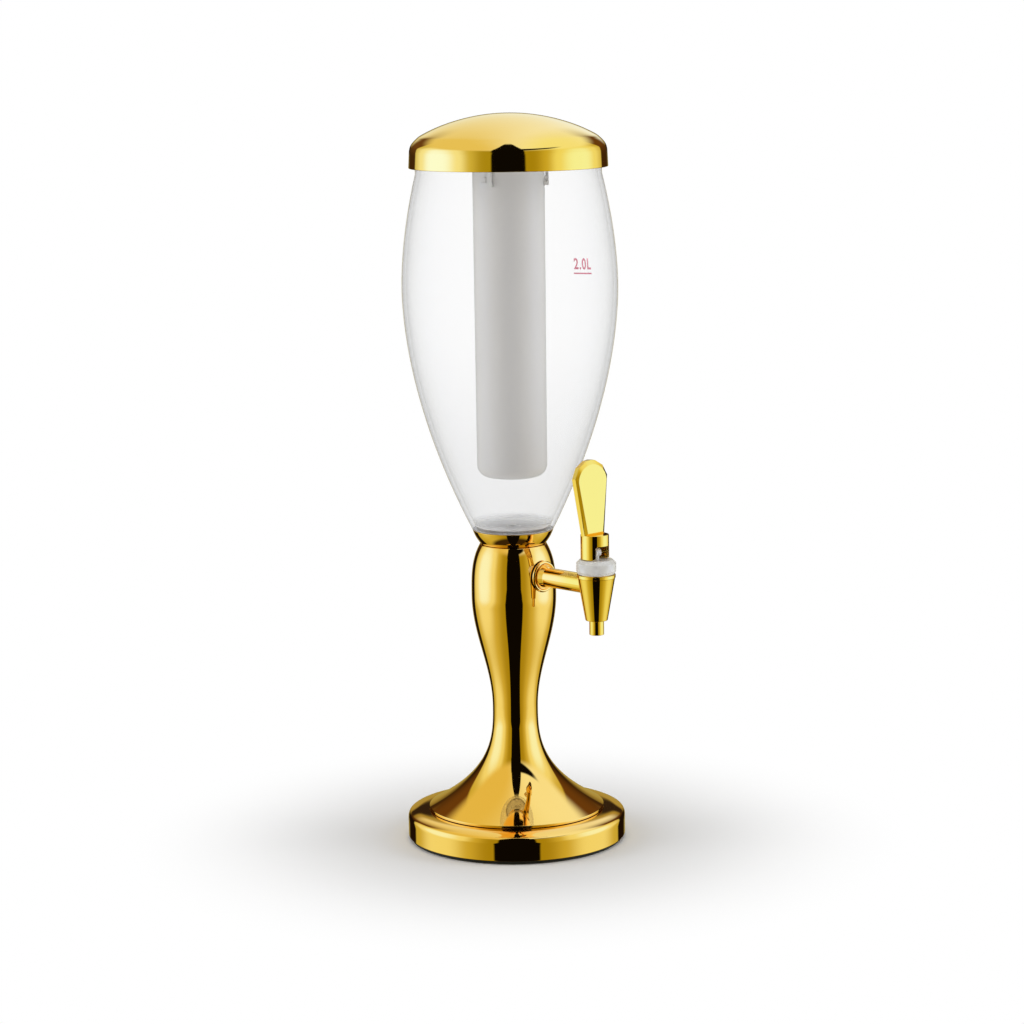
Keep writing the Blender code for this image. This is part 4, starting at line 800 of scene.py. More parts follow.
def tap_hollow_profile():
    """The cut for chamber, seat and nozzle. It runs past both ends of the body."""
    top, low = NECK_TOP_Z + 2 * MM, NOZZLE_LOW_Z - 2 * MM
    return rounded([
        (0.0, top, 0.0), (CHAMBER_R, top, 0.0), (CHAMBER_R, CHAMBER_LOW_Z, 0.3 * MM),
        (NOZZLE_BORE_R, SEAT_Z, 0.3 * MM), (NOZZLE_BORE_R, low, 0.0), (0.0, low, 0.0)],
        0.3 * MM, 2.0 * MM, closed=False)


def bonnet_profile():
    return rounded([
        (BONNET_HOLE_R, BONNET_TOP_Z, 0.2 * MM), (BONNET_TOP_R, BONNET_TOP_Z, 0.5 * MM),
        (BONNET_R, BONNET_TOP_Z - 2.1 * MM, 0.7 * MM), (BONNET_R, BONNET_LOW_Z + 2.0 * MM, 0.7 * MM),
        (BONNET_R - 1.0 * MM, BONNET_LOW_Z, 0.3 * MM), (BONNET_BORE_R, BONNET_LOW_Z, 0.0),
        (BONNET_BORE_R, BONNET_CEILING_Z, 0.0), (SPRING_SEAT_R, BONNET_CEILING_Z, 0.0),
        (SPRING_SEAT_R, SPRING_SEAT_Z, 0.0), (BONNET_HOLE_R, SPRING_SEAT_Z, 0.0)], 0.3 * MM, 1.5 * MM)


def rosette_profile():
    face = ROSETTE_BACK + ROSETTE_THICK
    dish = face - ROSETTE_DISH
    return rounded([
        (ARM_HOLE_R, dish, 0.0), (ARM_ROOT_R + 0.3 * MM, dish, 0.4 * MM), (8.5 * MM, face, 0.3 * MM),
        (9.1 * MM, face, 0.3 * MM), (ROSETTE_R, face - 0.6 * MM, 0.3 * MM), (ROSETTE_R, ROSETTE_BACK, 0.2 * MM),
        (ARM_HOLE_R, ROSETTE_BACK, 0.0)], 0.3 * MM, 1.0 * MM)


def ring_profile(inner, outer, low, high, edge):
    return rounded([(inner, high), (outer, high), (outer, low), (inner, low)], edge, 1.0 * MM)


def cup_seal_profile():
    """The rubber seat cup, as the CAD has it, with its corners softened."""
    points = [(0.0, 160.1, 0.0), (2.4, 160.1), (2.4, 166.7), (5.3, 166.7, 0.6), (6.9, 180.2, 0.8), (6.9, 182.4),
              (10.2, 182.4), (10.2, 181.3), (7.9, 181.3), (7.9, 180.2, 0.8), (6.4, 164.4, 1.2),
              (5.9, 161.0, 0.8), (3.4, 158.3, 0.6), (0.0, 158.3, 0.0)]
    return rounded([tuple(v * MM for v in p) for p in points], 0.25 * MM, 1.5 * MM, closed=False)


def stem_profile():
    return rounded([
        (0.0, PIN_Z, 0.0), (STEM_R, PIN_Z, 0.0), (STEM_R, STEM_FLANGE_TOP_Z, 0.0),
        (STEM_FLANGE_R, STEM_FLANGE_TOP_Z), (STEM_FLANGE_R, STEM_FLANGE_Z), (STEM_TIP_R, STEM_FLANGE_Z, 0.0),
        (STEM_TIP_R, STEM_LOW_Z), (0.0, STEM_LOW_Z, 0.0)], 0.3 * MM, 1.5 * MM, closed=False)


def rod_profile(radius, low, high, edge):
    return rounded([(0.0, high, 0.0), (radius, high), (radius, low), (0.0, low, 0.0)], edge, 2.0 * MM,
                   closed=False)


def spring_tree():
    """Geometry Nodes for a compression spring: one even spiral swept with a round wire."""
    tree = bpy.data.node_groups.new("Coil spring", "GeometryNodeTree")
    face = tree.interface
    face.new_socket("Source", in_out="INPUT", socket_type="NodeSocketGeometry")
    for name, kind in (("Turns", "NodeSocketFloat"), ("Radius", "NodeSocketFloat"),
                       ("Wire", "NodeSocketFloat"), ("Height", "NodeSocketFloat"),
                       ("Finish", "NodeSocketMaterial")):
        face.new_socket(name, in_out="INPUT", socket_type=kind)
    face.new_socket("Spring", in_out="OUTPUT", socket_type="NodeSocketGeometry")
    nodes, links = tree.nodes, tree.links
    source, result = nodes.new("NodeGroupInput"), nodes.new("NodeGroupOutput")
    coil = nodes.new("GeometryNodeCurveSpiral")
    coil.inputs["Resolution"].default_value = 28
    links.new(source.outputs["Turns"], coil.inputs["Rotations"])
    links.new(source.outputs["Radius"], coil.inputs["Start Radius"])
    links.new(source.outputs["Radius"], coil.inputs["End Radius"])
    links.new(source.outputs["Height"], coil.inputs["Height"])
    wire = nodes.new("GeometryNodeCurvePrimitiveCircle")
    wire.inputs["Resolution"].default_value = 12
    links.new(source.outputs["Wire"], wire.inputs["Radius"])
    sweep = nodes.new("GeometryNodeCurveToMesh")
    sweep.inputs["Fill Caps"].default_value = True
    links.new(coil.outputs[0], sweep.inputs["Curve"])
    links.new(wire.outputs[0], sweep.inputs["Profile Curve"])
    return painted(tree, sweep, source, result)


def screws_tree():
    """Geometry Nodes that set one screw on each point of a mesh."""
    tree = bpy.data.node_groups.new("Screws on points", "GeometryNodeTree")
    face = tree.interface
    face.new_socket("Places", in_out="INPUT", socket_type="NodeSocketGeometry")
    face.new_socket("Screw", in_out="INPUT", socket_type="NodeSocketObject")
    face.new_socket("Finish", in_out="INPUT", socket_type="NodeSocketMaterial")
    face.new_socket("Screws", in_out="OUTPUT", socket_type="NodeSocketGeometry")
    nodes, links = tree.nodes, tree.links
    source, result = nodes.new("NodeGroupInput"), nodes.new("NodeGroupOutput")
    info = nodes.new("GeometryNodeObjectInfo")
    links.new(source.outputs["Screw"], info.inputs["Object"])
    on_points = nodes.new("GeometryNodeInstanceOnPoints")
    links.new(source.outputs["Places"], on_points.inputs["Points"])
    links.new(info.outputs["Geometry"], on_points.inputs["Instance"])
    return painted(tree, on_points, source, result)


def on_ring(count, radius, first=0.0):
    for i in range(count):
        angle = first + i * FULL_TURN / count
        yield radius * math.cos(angle), radius * math.sin(angle)


def pan_screw():
    """A pan-head screw that points up from its head's seat at z = 0, with a cross recess."""
    profile = [(0.0, 8.6), (0.75, 8.6), (1.5, 7.4)]
    for i in range(6):
        profile += [(1.5, 7.0 - i), (1.15, 6.7 - i), (1.15, 6.4 - i)]
    profile += [(1.5, 0.9), (1.5, 0.0), (2.8, 0.0), (2.8, -0.85), (2.45, -1.35), (2.0, -1.6), (0.0, -1.7)]
    screw = turned("screw_blank", [Vector((r * MM, z * MM)) for r, z in profile], "plain_steel", 20)
    cross = []
    for turn in (0.0, math.pi / 2):
        cross.append(solid("recess", lambda bm: bmesh.ops.create_cube(
            bm, size=1.0, matrix=Matrix.Rotation(turn, 4, "Z") @ Matrix.Translation((0.0, 0.0, -1.7 * MM))
            @ Matrix.Diagonal((2.6 * MM, 0.6 * MM, 1.6 * MM, 1.0))), "plain_steel"))
    return combined("screw", screw, cross, "DIFFERENCE", "plain_steel")


# handle
HANDLE_FOOT_Z, HANDLE_FOOT_TOP_Z = 186.9 * MM, 202.0 * MM
HANDLE_FOOT_R, HANDLE_FOOT_BACK = 8.7 * MM, 1.0 * MM
SLOT_HALF, SLOT_TOP_Z, SLOT_BACK = 6.0 * MM, 195.4 * MM, 3.3 * MM
PADDLE_LOW_Z, PADDLE_HALF, PADDLE_H = 201.4 * MM, 14.0 * MM, 45.9 * MM
PADDLE_FRONT, PADDLE_THICK, PADDLE_LEAN = 0.1 * MM, 4.8 * MM, math.radians(3.5)
PADDLE_SHARES = ((0.616, 0.0), (1.0, 0.772), (0.740, 0.912), (0.280, 0.990), (0.0, 1.0))
PANEL_LOW, PANEL_WIDE, PANEL_ARCH = (6.6 * MM, 1.6 * MM), (12.1 * MM, 33.0 * MM), 10.3 * MM
PANEL_RAISE, PADDLE_BEVEL = 1.15 * MM, 0.8 * MM


def build_paddle(bm):
    """The back and the crown are faceted, and a low band sets off the front panel, which ends in a
    smooth arch."""
    outline = [(PADDLE_HALF * across, PADDLE_H * up) for across, up in PADDLE_SHARES]
    panel = [PANEL_LOW, PANEL_WIDE]
    for i in range(1, 13):
        angle = math.pi / 2 * i / 12
        panel.append((PANEL_WIDE[0] * math.cos(angle), PANEL_WIDE[1] + PANEL_ARCH * math.sin(angle)))

    def loop(half, depth, shrink=0.0):
        right = [(max(x - shrink, 0.0), max(up - shrink, 0.0)) for x, up in half]
        whole = right + [(-x, up) for x, up in reversed(right) if x > 0.001 * MM]
        return [bm.verts.new((x, depth + up * math.tan(PADDLE_LEAN), PADDLE_LOW_Z + up)) for x, up in whole]

    back_depth = PADDLE_FRONT + PADDLE_THICK
    face = loop(panel, PADDLE_FRONT)
    rim_front = loop(outline, PADDLE_FRONT + PANEL_RAISE)
    rim_back = loop(outline, back_depth - PADDLE_BEVEL)
    back = loop(outline, back_depth, PADDLE_BEVEL)
    for one, two in ((rim_front, rim_back), (rim_back, back)):
        for i in range(len(one)):
            j = (i + 1) % len(one)
            bm.faces.new((one[i], one[j], two[j], two[i]))
    bm.faces.new(back)
    bm.faces.new(face[::-1])
    band = bmesh.ops.bridge_loops(bm, edges=[e for e in bm.edges if e.is_boundary])
    bmesh.ops.triangulate(bm, faces=[f for f in band["faces"] if len(f.verts) > 3])
    bmesh.ops.recalc_face_normals(bm, faces=bm.faces)


def cam_outline():
    """Front lower edge of the foot: its distance below the pin grows evenly with the tilt."""
    rise, lift = PIN_Z - HANDLE_FOOT_Z, 2.1 * MM
    points = []
    for i in range(17):
        tilt = math.radians(52.0) * i / 16
        reach = rise + lift * tilt
        points.append((-reach * math.sin(tilt) - lift * math.cos(tilt),
                       -reach * math.cos(tilt) + lift * math.sin(tilt)))
    low = -rise - 2 * MM
    return points + [(points[-1][0], low), (points[0][0], low)]


def prism(bm, outline, depth):
    """An outline in the YZ plane, given depth to both sides along X."""
    sides = [[bm.verts.new((x, y, z)) for y, z in outline] for x in (-depth, depth)]
    bm.faces.new(sides[0])
    bm.faces.new(sides[1][::-1])
    for i in range(len(outline)):
        j = (i + 1) % len(outline)
        bm.faces.new((sides[0][i], sides[1][i], sides[1][j], sides[0][j]))
    bmesh.ops.recalc_face_normals(bm, faces=bm.faces)


def brick(bm, low, high):
    low, high = Vector(low), Vector(high)
    bmesh.ops.create_cube(bm, size=1.0, matrix=Matrix.Translation((low + high) / 2)
                          @ Matrix.Diagonal((*(high - low), 1.0)))


# operators
class TOWER_OT_foot(bpy.types.Operator):
    """Turn the foot's shell and pad"""
    bl_idname = "tower.foot"
    bl_label = "Foot"

    def execute(self, context):
        fit(turned("foot_shell", base_profile(), "gold_plating"), "dispenser", ["base_shell"])
        pad = rounded([(0.0, PAD_TOP_Z, 0.0), (PAD_R, PAD_TOP_Z), (PAD_R, 0.0), (0.0, 0.0, 0.0)], 0.3 * MM,
                      6 * MM, closed=False)
        fit(turned("grip_pad", pad, "black_rubber"), "dispenser", ["foot_pad"])
        return {"FINISHED"}


class TOWER_OT_column(bpy.types.Operator):
    """Turn the column and the collar cup"""
    bl_idname = "tower.column"
    bl_label = "Column"

    def execute(self, context):
        column = turned("column_blank", column_profile(), "gold_plating", 192)
        boss = arm_rod("boss", BOSS_R, BOSS_BACK, BOSS_FACE)
        column = combined("column_boss", column, [boss], "UNION", "gold_plating")
        cutters = [arm_rod("spot_face", BOSS_R, BOSS_FACE, BOSS_FACE + 9 * MM, 0.2 * MM),
                   arm_rod("arm_hole", ARM_HOLE_R, BOSS_BACK - 4 * MM, BOSS_FACE + 2 * MM)]
        column = combined("column", column, cutters, "DIFFERENCE", "gold_plating")
        fit(column, "dispenser", ["column_shell"])
        fit(turned("collar", cup_profile(), "gold_plating"), "dispenser", ["collar_cup"])
        return {"FINISHED"}


class TOWER_OT_container(bpy.types.Operator):
    """Turn the clear container and its gasket"""
    bl_idname = "tower.container"
    bl_label = "Container"

    def execute(self, context):
        tank = turned("clear_container", tank_profile(), "clear_plastic")
        inner = tank.data.attributes.new("inner_wall", "FLOAT", "POINT")
        for vertex, value in zip(tank.data.vertices, inner.data):
            x, y, z = vertex.co
            value.value = float(z > TANK_FLOOR_Z + MM and math.hypot(x, y) < tank_radius(z) - TANK_WALL / 2)
        fit(tank, "dispenser", ["container"])
        ring = ring_profile(GASKET_INNER_R, GASKET_OUTER_R, GASKET_Z, GASKET_Z + GASKET_H, 0.4 * MM)
        fit(turned("floor_gasket", ring, "milky_silicone", 64), "dispenser", ["container_gasket"])
        return {"FINISHED"}


class TOWER_OT_mark(bpy.types.Operator):
    """Print the volume mark on the container"""
    bl_idname = "tower.mark"
    bl_label = "Volume mark"
    turn: FloatProperty(name="Turn", description="Direction of the mark round the container",
                        default=math.radians(-93.5), subtype="ANGLE")
    height: FloatProperty(name="Height", description="Height of the mark's line", default=360.6 * MM,
                          unit="LENGTH")
    tilt: FloatProperty(name="Tilt", description="Fall of the print for each metre to its right", default=0.075)

    def execute(self, context):
        figures = bpy.data.curves.new("volume_figures", "FONT")
        figures.body = "2.0L"
        figures.align_x = "CENTER"
        figures.size = context.scene.tower_sizes.mark_height / 0.70
        figures.resolution_u = 4
        figures.offset = 0.22 * MM
        figures.space_character = 1.12
        text = bpy.data.objects.new("volume_figures", figures)
        context.scene.collection.objects.link(text)
        context.view_layer.update()
        mesh = bpy.data.meshes.new_from_object(text.evaluated_get(context.evaluated_depsgraph_get()))
        bpy.data.objects.remove(text, do_unlink=True)
        bm = bmesh.new()
        bm.from_mesh(mesh)
        width = 7.2 * MM
        across = max(v.co.x for v in bm.verts) - min(v.co.x for v in bm.verts)
        for vertex in bm.verts:
            vertex.co.x *= 2 * width / across * 0.96
            vertex.co.y += 2.6 * MM
        columns = 16
        rows = [[bm.verts.new((-width + 2 * width * i / columns, y, 0.0)) for i in range(columns + 1)]
                for y in (-0.45 * MM, 0.45 * MM)]
        for i in range(columns):
            bm.faces.new((rows[0][i], rows[0][i + 1], rows[1][i + 1], rows[1][i]))
        bmesh.ops.subdivide_edges(bm, edges=[e for e in bm.edges if e.calc_length() > 1.6 * MM], cuts=1)
        bmesh.ops.triangulate(bm, faces=bm.faces)
        for vertex in bm.verts:
            z = self.height + vertex.co.y - vertex.co.x * self.tilt
            radius = tank_radius(z) + 0.04 * MM
            turn = self.turn + vertex.co.x / radius
            vertex.co = (radius * math.cos(turn), radius * math.sin(turn), z)
        bm.to_mesh(mesh)
        bm.free()
        mesh.materials.clear()
        mesh.materials.append(finish_of("mark_ink"))
        mark = bpy.data.objects.new("volume_mark", mesh)
        context.scene.collection.objects.link(mark)
        fit(mark, "dispenser")
        return {"FINISHED"}


class TOWER_OT_lid(bpy.types.Operator):
    """Turn the domed lid and its liner with the hooks"""
    bl_idname = "tower.lid"
    bl_label = "Lid"

    def execute(self, context):
        fit(turned("lid_dome", lid_profile(), "gold_plating", 192), "lid", ["lid_shell"])
        plate = turned("liner_plate", liner_profile(), "white_plastic")
        plug = combined("lid_plug", plate, hooks(), "UNION", "white_plastic")
        fit(plug, "lid", ["lid_liner"])
        ring = ring_profile(LID_SEAL_INNER_R, LID_SEAL_R, LID_SEAL_Z, LID_SEAL_TOP_Z, 0.3 * MM)
        fit(turned("lid_ring", ring, "milky_silicone"), "lid", ["lid_seal"])
        return {"FINISHED"}


class TOWER_OT_ice_tube(bpy.types.Operator):
    """Turn the frosted ice tube with its lugs"""
    bl_idname = "tower.ice_tube"
    bl_label = "Ice tube"

    def execute(self, context):
        tube = turned("tube_blank", ice_profile(), "frosted_plastic")
        fit(combined("frosted_tube", tube, lugs(), "UNION", "frosted_plastic"), "ice_tube", ["ice_tube"])
        return {"FINISHED"}


class TOWER_OT_tap(bpy.types.Operator):
    """Turn the tap's body, arm, rosette, washer, bonnet and stem"""
    bl_idname = "tower.tap"
    bl_label = "Tap"

    def execute(self, context):
        small = context.scene.tower_sizes.small_steps
        body = turned("tap_cone", tap_profile(), "gold_plating", small, TAP_AXIS)
        arm = turned("tap_arm", arm_profile(), "gold_plating", 56, ARM_AXIS)
        joined = combined("tap_joined", body, [arm], "UNION", "gold_plating")
        hollow = turned("tap_hollow", tap_hollow_profile(), "gold_plating", 48, TAP_AXIS)
        bore = turned("tap_bore", rod_profile(ARM_BORE_R, SHANK_END - 2 * MM, TAP_REACH, 0.0),
                      "gold_plating", 32, ARM_AXIS)
        fit(combined("tap_shell", joined, [hollow, bore], "DIFFERENCE", "gold_plating"), "dispenser",
            ["tap_body"])
        ring = ring_profile(ARM_HOLE_R, WASHER_R, WASHER_FACE, WASHER_FACE + WASHER_THICK, 0.2 * MM)
        fit(turned("black_washer", ring, "black_rubber", small, ARM_AXIS), "dispenser", ["rosette_washer"])
        fit(turned("rosette", rosette_profile(), "gold_plating", small, ARM_AXIS), "dispenser",
            ["tap_rosette"])
        fit(turned("bonnet", bonnet_profile(), "frosted_cap", small, TAP_AXIS), "dispenser", ["tap_bonnet"])
        cup = turned("seat_cup", cup_seal_profile(), "milky_silicone", small, TAP_AXIS)
        fit(cup, "dispenser", ["tap_seat_cup"])
        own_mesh(cup)
        shaft = turned("stem_shaft", stem_profile(), "white_plastic", 40, TAP_AXIS)
        eye = turned("stem_eye", rod_profile(EYE_R, -EYE_HALF, EYE_HALF, 0.3 * MM), "white_plastic", 40,
                     PIN_AXIS)
        shaft = combined("stem_joined", shaft, [eye], "UNION", "white_plastic")
        past_eye = EYE_HALF + 2 * MM
        hole = turned("stem_hole", rod_profile(PIN_HOLE_R, -past_eye, past_eye, 0.0), "white_plastic", 24,
                      PIN_AXIS)
        fit(combined("valve_stem", shaft, [hole], "DIFFERENCE", "white_plastic"), "stem", ["tap_stem"])
        pin = turned("hinge_pin", rod_profile(PIN_R, -PIN_HALF, PIN_HALF, 0.2 * MM), "plain_steel", 24,
                     PIN_AXIS)
        fit(pin, "stem", ["tap_pin"])
        return {"FINISHED"}


class TOWER_OT_spring(bpy.types.Operator):
    """Wind the tap's spring"""
    bl_idname = "tower.spring"
    bl_label = "Spring"

    def execute(self, context):
        source = bpy.data.objects.new("spring_source", bpy.data.meshes.new("spring_source"))
        context.scene.collection.objects.link(source)
        source.matrix_world = Matrix.Translation((0.0, -TAP_REACH, SPRING_LOW_Z + SPRING_WIRE_R))
        modifier = source.modifiers.new("coil", "NODES")
        modifier.node_group = spring_tree()
        set_input(modifier, "Turns", float(context.scene.tower_sizes.spring_turns))
        height = SPRING_TOP_Z - SPRING_LOW_Z
        set_input(modifier, "Radius", SPRING_R)
        set_input(modifier, "Wire", SPRING_WIRE_R)
        set_input(modifier, "Height", height - 2 * SPRING_WIRE_R)
        set_input(modifier, "Finish", finish_of("plain_steel"))
        spring = baked(source, "valve_spring", "plain_steel")
        fit(spring, "dispenser", ["tap_spring"])
        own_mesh(spring)
        return {"FINISHED"}


class TOWER_OT_handle(bpy.types.Operator):
    """Shape the tap's handle"""
    bl_idname = "tower.handle"
    bl_label = "Handle"

    def execute(self, context):
        foot = turned("handle_foot", rod_profile(HANDLE_FOOT_R, HANDLE_FOOT_Z, HANDLE_FOOT_TOP_Z, 0.35 * MM),
                      "gold_plating", context.scene.tower_sizes.small_steps,
                      Matrix.Translation((0.0, HANDLE_FOOT_BACK - TAP_REACH, 0.0)))
        paddle = solid("paddle", build_paddle, "gold_plating")
        paddle.location.y = -TAP_REACH
        slot = solid("slot", lambda bm: brick(
            bm, (-SLOT_HALF, -TAP_REACH - 10 * MM, HANDLE_FOOT_Z - 2 * MM),
            (SLOT_HALF, SLOT_BACK - TAP_REACH, SLOT_TOP_Z)), "gold_plating")
        cam = solid("cam", lambda bm: prism(bm, cam_outline(), HANDLE_FOOT_R + 2 * MM), "gold_plating")
        cam.location = (0.0, -TAP_REACH, PIN_Z)
        socket = rod_profile(PIN_HOLE_R, -PIN_HALF - 0.3 * MM, PIN_HALF + 0.3 * MM, 0.0)
        sockets = turned("sockets", socket, "gold_plating", 24, PIN_AXIS)
        joined = combined("handle_joined", foot, [paddle], "UNION", "gold_plating")
        handle = combined("lever", joined, [slot, cam, sockets], "DIFFERENCE", "gold_plating")
        bevel = handle.modifiers.new("edge", "BEVEL")
        bevel.width, bevel.segments, bevel.limit_method = 0.18 * MM, 2, "ANGLE"
        bevel.angle_limit = math.radians(18.0)
        bevel.use_clamp_overlap = True
        bevel.harden_normals = True
        fit(bevelled(handle), "handle", ["tap_handle"])
        return {"FINISHED"}


def bevelled(obj):
    """The object with its bevel made real and its shading kept."""
    bpy.context.view_layer.update()
    mesh = bpy.data.meshes.new_from_object(obj.evaluated_get(bpy.context.evaluated_depsgraph_get()))
    obj.modifiers.clear()
    obj.data = mesh
    mesh.name = obj.name
    return obj


class TOWER_OT_screws(bpy.types.Operator):
    """Set the pan-head screws in the foot and in the lid"""
    bl_idname = "tower.screws"
    bl_label = "Screws"

    def execute(self, context):
        screw = pan_screw()
        cover = [(x, y, COVER_SCREW_Z) for x, y in on_ring(4, COVER_SCREW_RING, math.pi / 4)]
        column = [(x, y, COLUMN_SCREW_Z) for x, y in on_ring(4, COLUMN_SCREW_RING)]
        lid = [(x, y, LID_SCREW_Z) for x, y in on_ring(3, LID_SCREW_RING, LID_SCREW_TURN)]
        for name, body, places, nodes in (
                ("foot_screws", "dispenser", cover + column,
                 [f"cover_screw_{i}" for i in range(1, 5)] + [f"column_screw_{i}" for i in range(1, 5)]),
                ("lid_screws", "lid", lid, [f"lid_screw_{i}" for i in range(1, 4)])):
            mesh = bpy.data.meshes.new(name)
            mesh.from_pydata(places, [], [])
            source = bpy.data.objects.new(name + "_places", mesh)
            context.scene.collection.objects.link(source)
            modifier = source.modifiers.new("screws", "NODES")
            modifier.node_group = screws_tree()
            set_input(modifier, "Screw", screw)
            set_input(modifier, "Finish", finish_of("plain_steel"))
            fit(baked(source, name, "plain_steel"), body, nodes)
        bpy.data.objects.remove(screw, do_unlink=True)
        return {"FINISHED"}


class TOWER_OT_inside(bpy.types.Operator):
    """Finish the CAD nodes that stay as they are"""
    bl_idname = "tower.inside"
    bl_label = "Inside"

    def execute(self, context):
        kept = {"bottom_cover": "black_plastic", "base_weight": "cast_weight", "outlet_elbow": "white_plastic",
                "container_ring_nut": "white_plastic", "nipple_seal": "milky_silicone",
                "shank_seal": "milky_silicone", "shank_washer": "black_rubber", "shank_nut": "plain_steel"}
        for node, material in kept.items():
            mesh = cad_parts[node].data
            mesh.materials.clear()
            mesh.materials.append(finish_of(material))
        return {"FINISHED"}


# stage
CAMERA_TURN = math.radians(-45.0)     # the camera looks from between -X and -Y
CAMERA_DISTANCE, CAMERA_HEIGHT = 1.8212, 0.5147
CAMERA_PITCH, CAMERA_ROLL, CAMERA_SHIFT = math.radians(9.561), -0.0131, -0.0008
TO_CAMERA = Vector((math.sin(CAMERA_TURN), -math.cos(CAMERA_TURN), 0.0))
TO_RIGHT = Vector((-TO_CAMERA.y, TO_CAMERA.x, 0.0))


def make_camera(lens):
    data = bpy.data.cameras.new("camera")
    data.lens, data.sensor_width, data.clip_start = lens, 36.0, 0.01
    data.shift_x = CAMERA_SHIFT
    camera = bpy.data.objects.new("camera", data)
    bpy.context.scene.collection.objects.link(camera)
    back = (TO_CAMERA * math.cos(CAMERA_PITCH) + Vector((0, 0, math.sin(CAMERA_PITCH)))).normalized()
    right = TO_RIGHT.copy()
    up = back.cross(right)
    turned_right = right * math.cos(CAMERA_ROLL) + up * math.sin(CAMERA_ROLL)
    turned_up = up * math.cos(CAMERA_ROLL) - right * math.sin(CAMERA_ROLL)
    basis = Matrix((turned_right, turned_up, back)).transposed().to_4x4()
    place = TO_CAMERA * CAMERA_DISTANCE + Vector((0, 0, CAMERA_HEIGHT))
    camera.matrix_world = Matrix.Translation(place) @ basis
    bpy.context.scene.camera = camera


def seen_by(g, names):
    """1 for rays of these kinds, and 0 for the others."""
    path = g.add("ShaderNodeLightPath")
    found = [Value(g, path.socket.node.outputs[name]) for name in names]
    total = found[0]
    for one in found[1:]:
        total = total.math("MAXIMUM", one)
    return total


def make_floor():
    """A pale disc with a painted shadow, darker near the foot, besides the real shadow it keeps; it fades into
    the white surroundings.
    """
    g = Graph("pale_floor")
    x, y, z = g.axes(g.place())
    radius = (x * x + y * y) ** 0.5
    # Painted shadow: the floor's colour is darker near the foot and pales outwards.
    grey = g.ease(radius, 0.07, 0.24, 0.86, 0.98)
    shade = g.shader("ShaderNodeBsdfDiffuse", Color=g.blend(grey, (0.0, 0.0, 0.0), (1.0, 1.0, 1.0)))
    white = g.shader("ShaderNodeEmission", Color=(1.0, 1.0, 1.0), Strength=1.0)
    far = g.ease(radius, 0.07, 0.25) * seen_by(g, ["Is Camera Ray", "Is Glossy Ray", "Is Transmission Ray"])
    surface = g.add("ShaderNodeMixShader", {}, {0: far, 1: shade, 2: white})
    floor = solid("floor", lambda bm: bmesh.ops.create_circle(bm, cap_ends=True, segments=96, radius=2.2),
                  "black_plastic")
    floor.data.materials.clear()
    floor.data.materials.append(g.finish(surface))
    floor.visible_glossy = False


def make_world(fill):
    world = bpy.data.worlds.new("white_surroundings")
    bpy.context.scene.world = world
    g = Graph("world", world)
    seen = seen_by(g, ["Is Camera Ray", "Is Glossy Ray", "Is Transmission Ray"])
    strength = seen * (1.0 - fill) + fill
    g.finish(g.add("ShaderNodeBackground", {}, {"Color": (1.0, 1.0, 1.0), "Strength": strength}))


def make_lamp(name, place, target, size, power):
    data = bpy.data.lights.new(name, "AREA")
    data.shape, data.size, data.size_y, data.energy = "RECTANGLE", size[0], size[1], power
    lamp = bpy.data.objects.new(name, data)
    bpy.context.scene.collection.objects.link(lamp)
    aim = (Vector(target) - Vector(place)).to_track_quat("-Z", "Y")
    lamp.matrix_world = Matrix.Translation(place) @ aim.to_matrix().to_4x4()
    lamp.visible_glossy = False
    return lamp


def around(turn, distance, height):
    """A place round the object: the turn is counted from the camera's side towards its right."""
    turn = math.radians(turn)
    level = TO_CAMERA * (distance * math.cos(turn)) + TO_RIGHT * (distance * math.sin(turn))
    return level + Vector((0, 0, height))


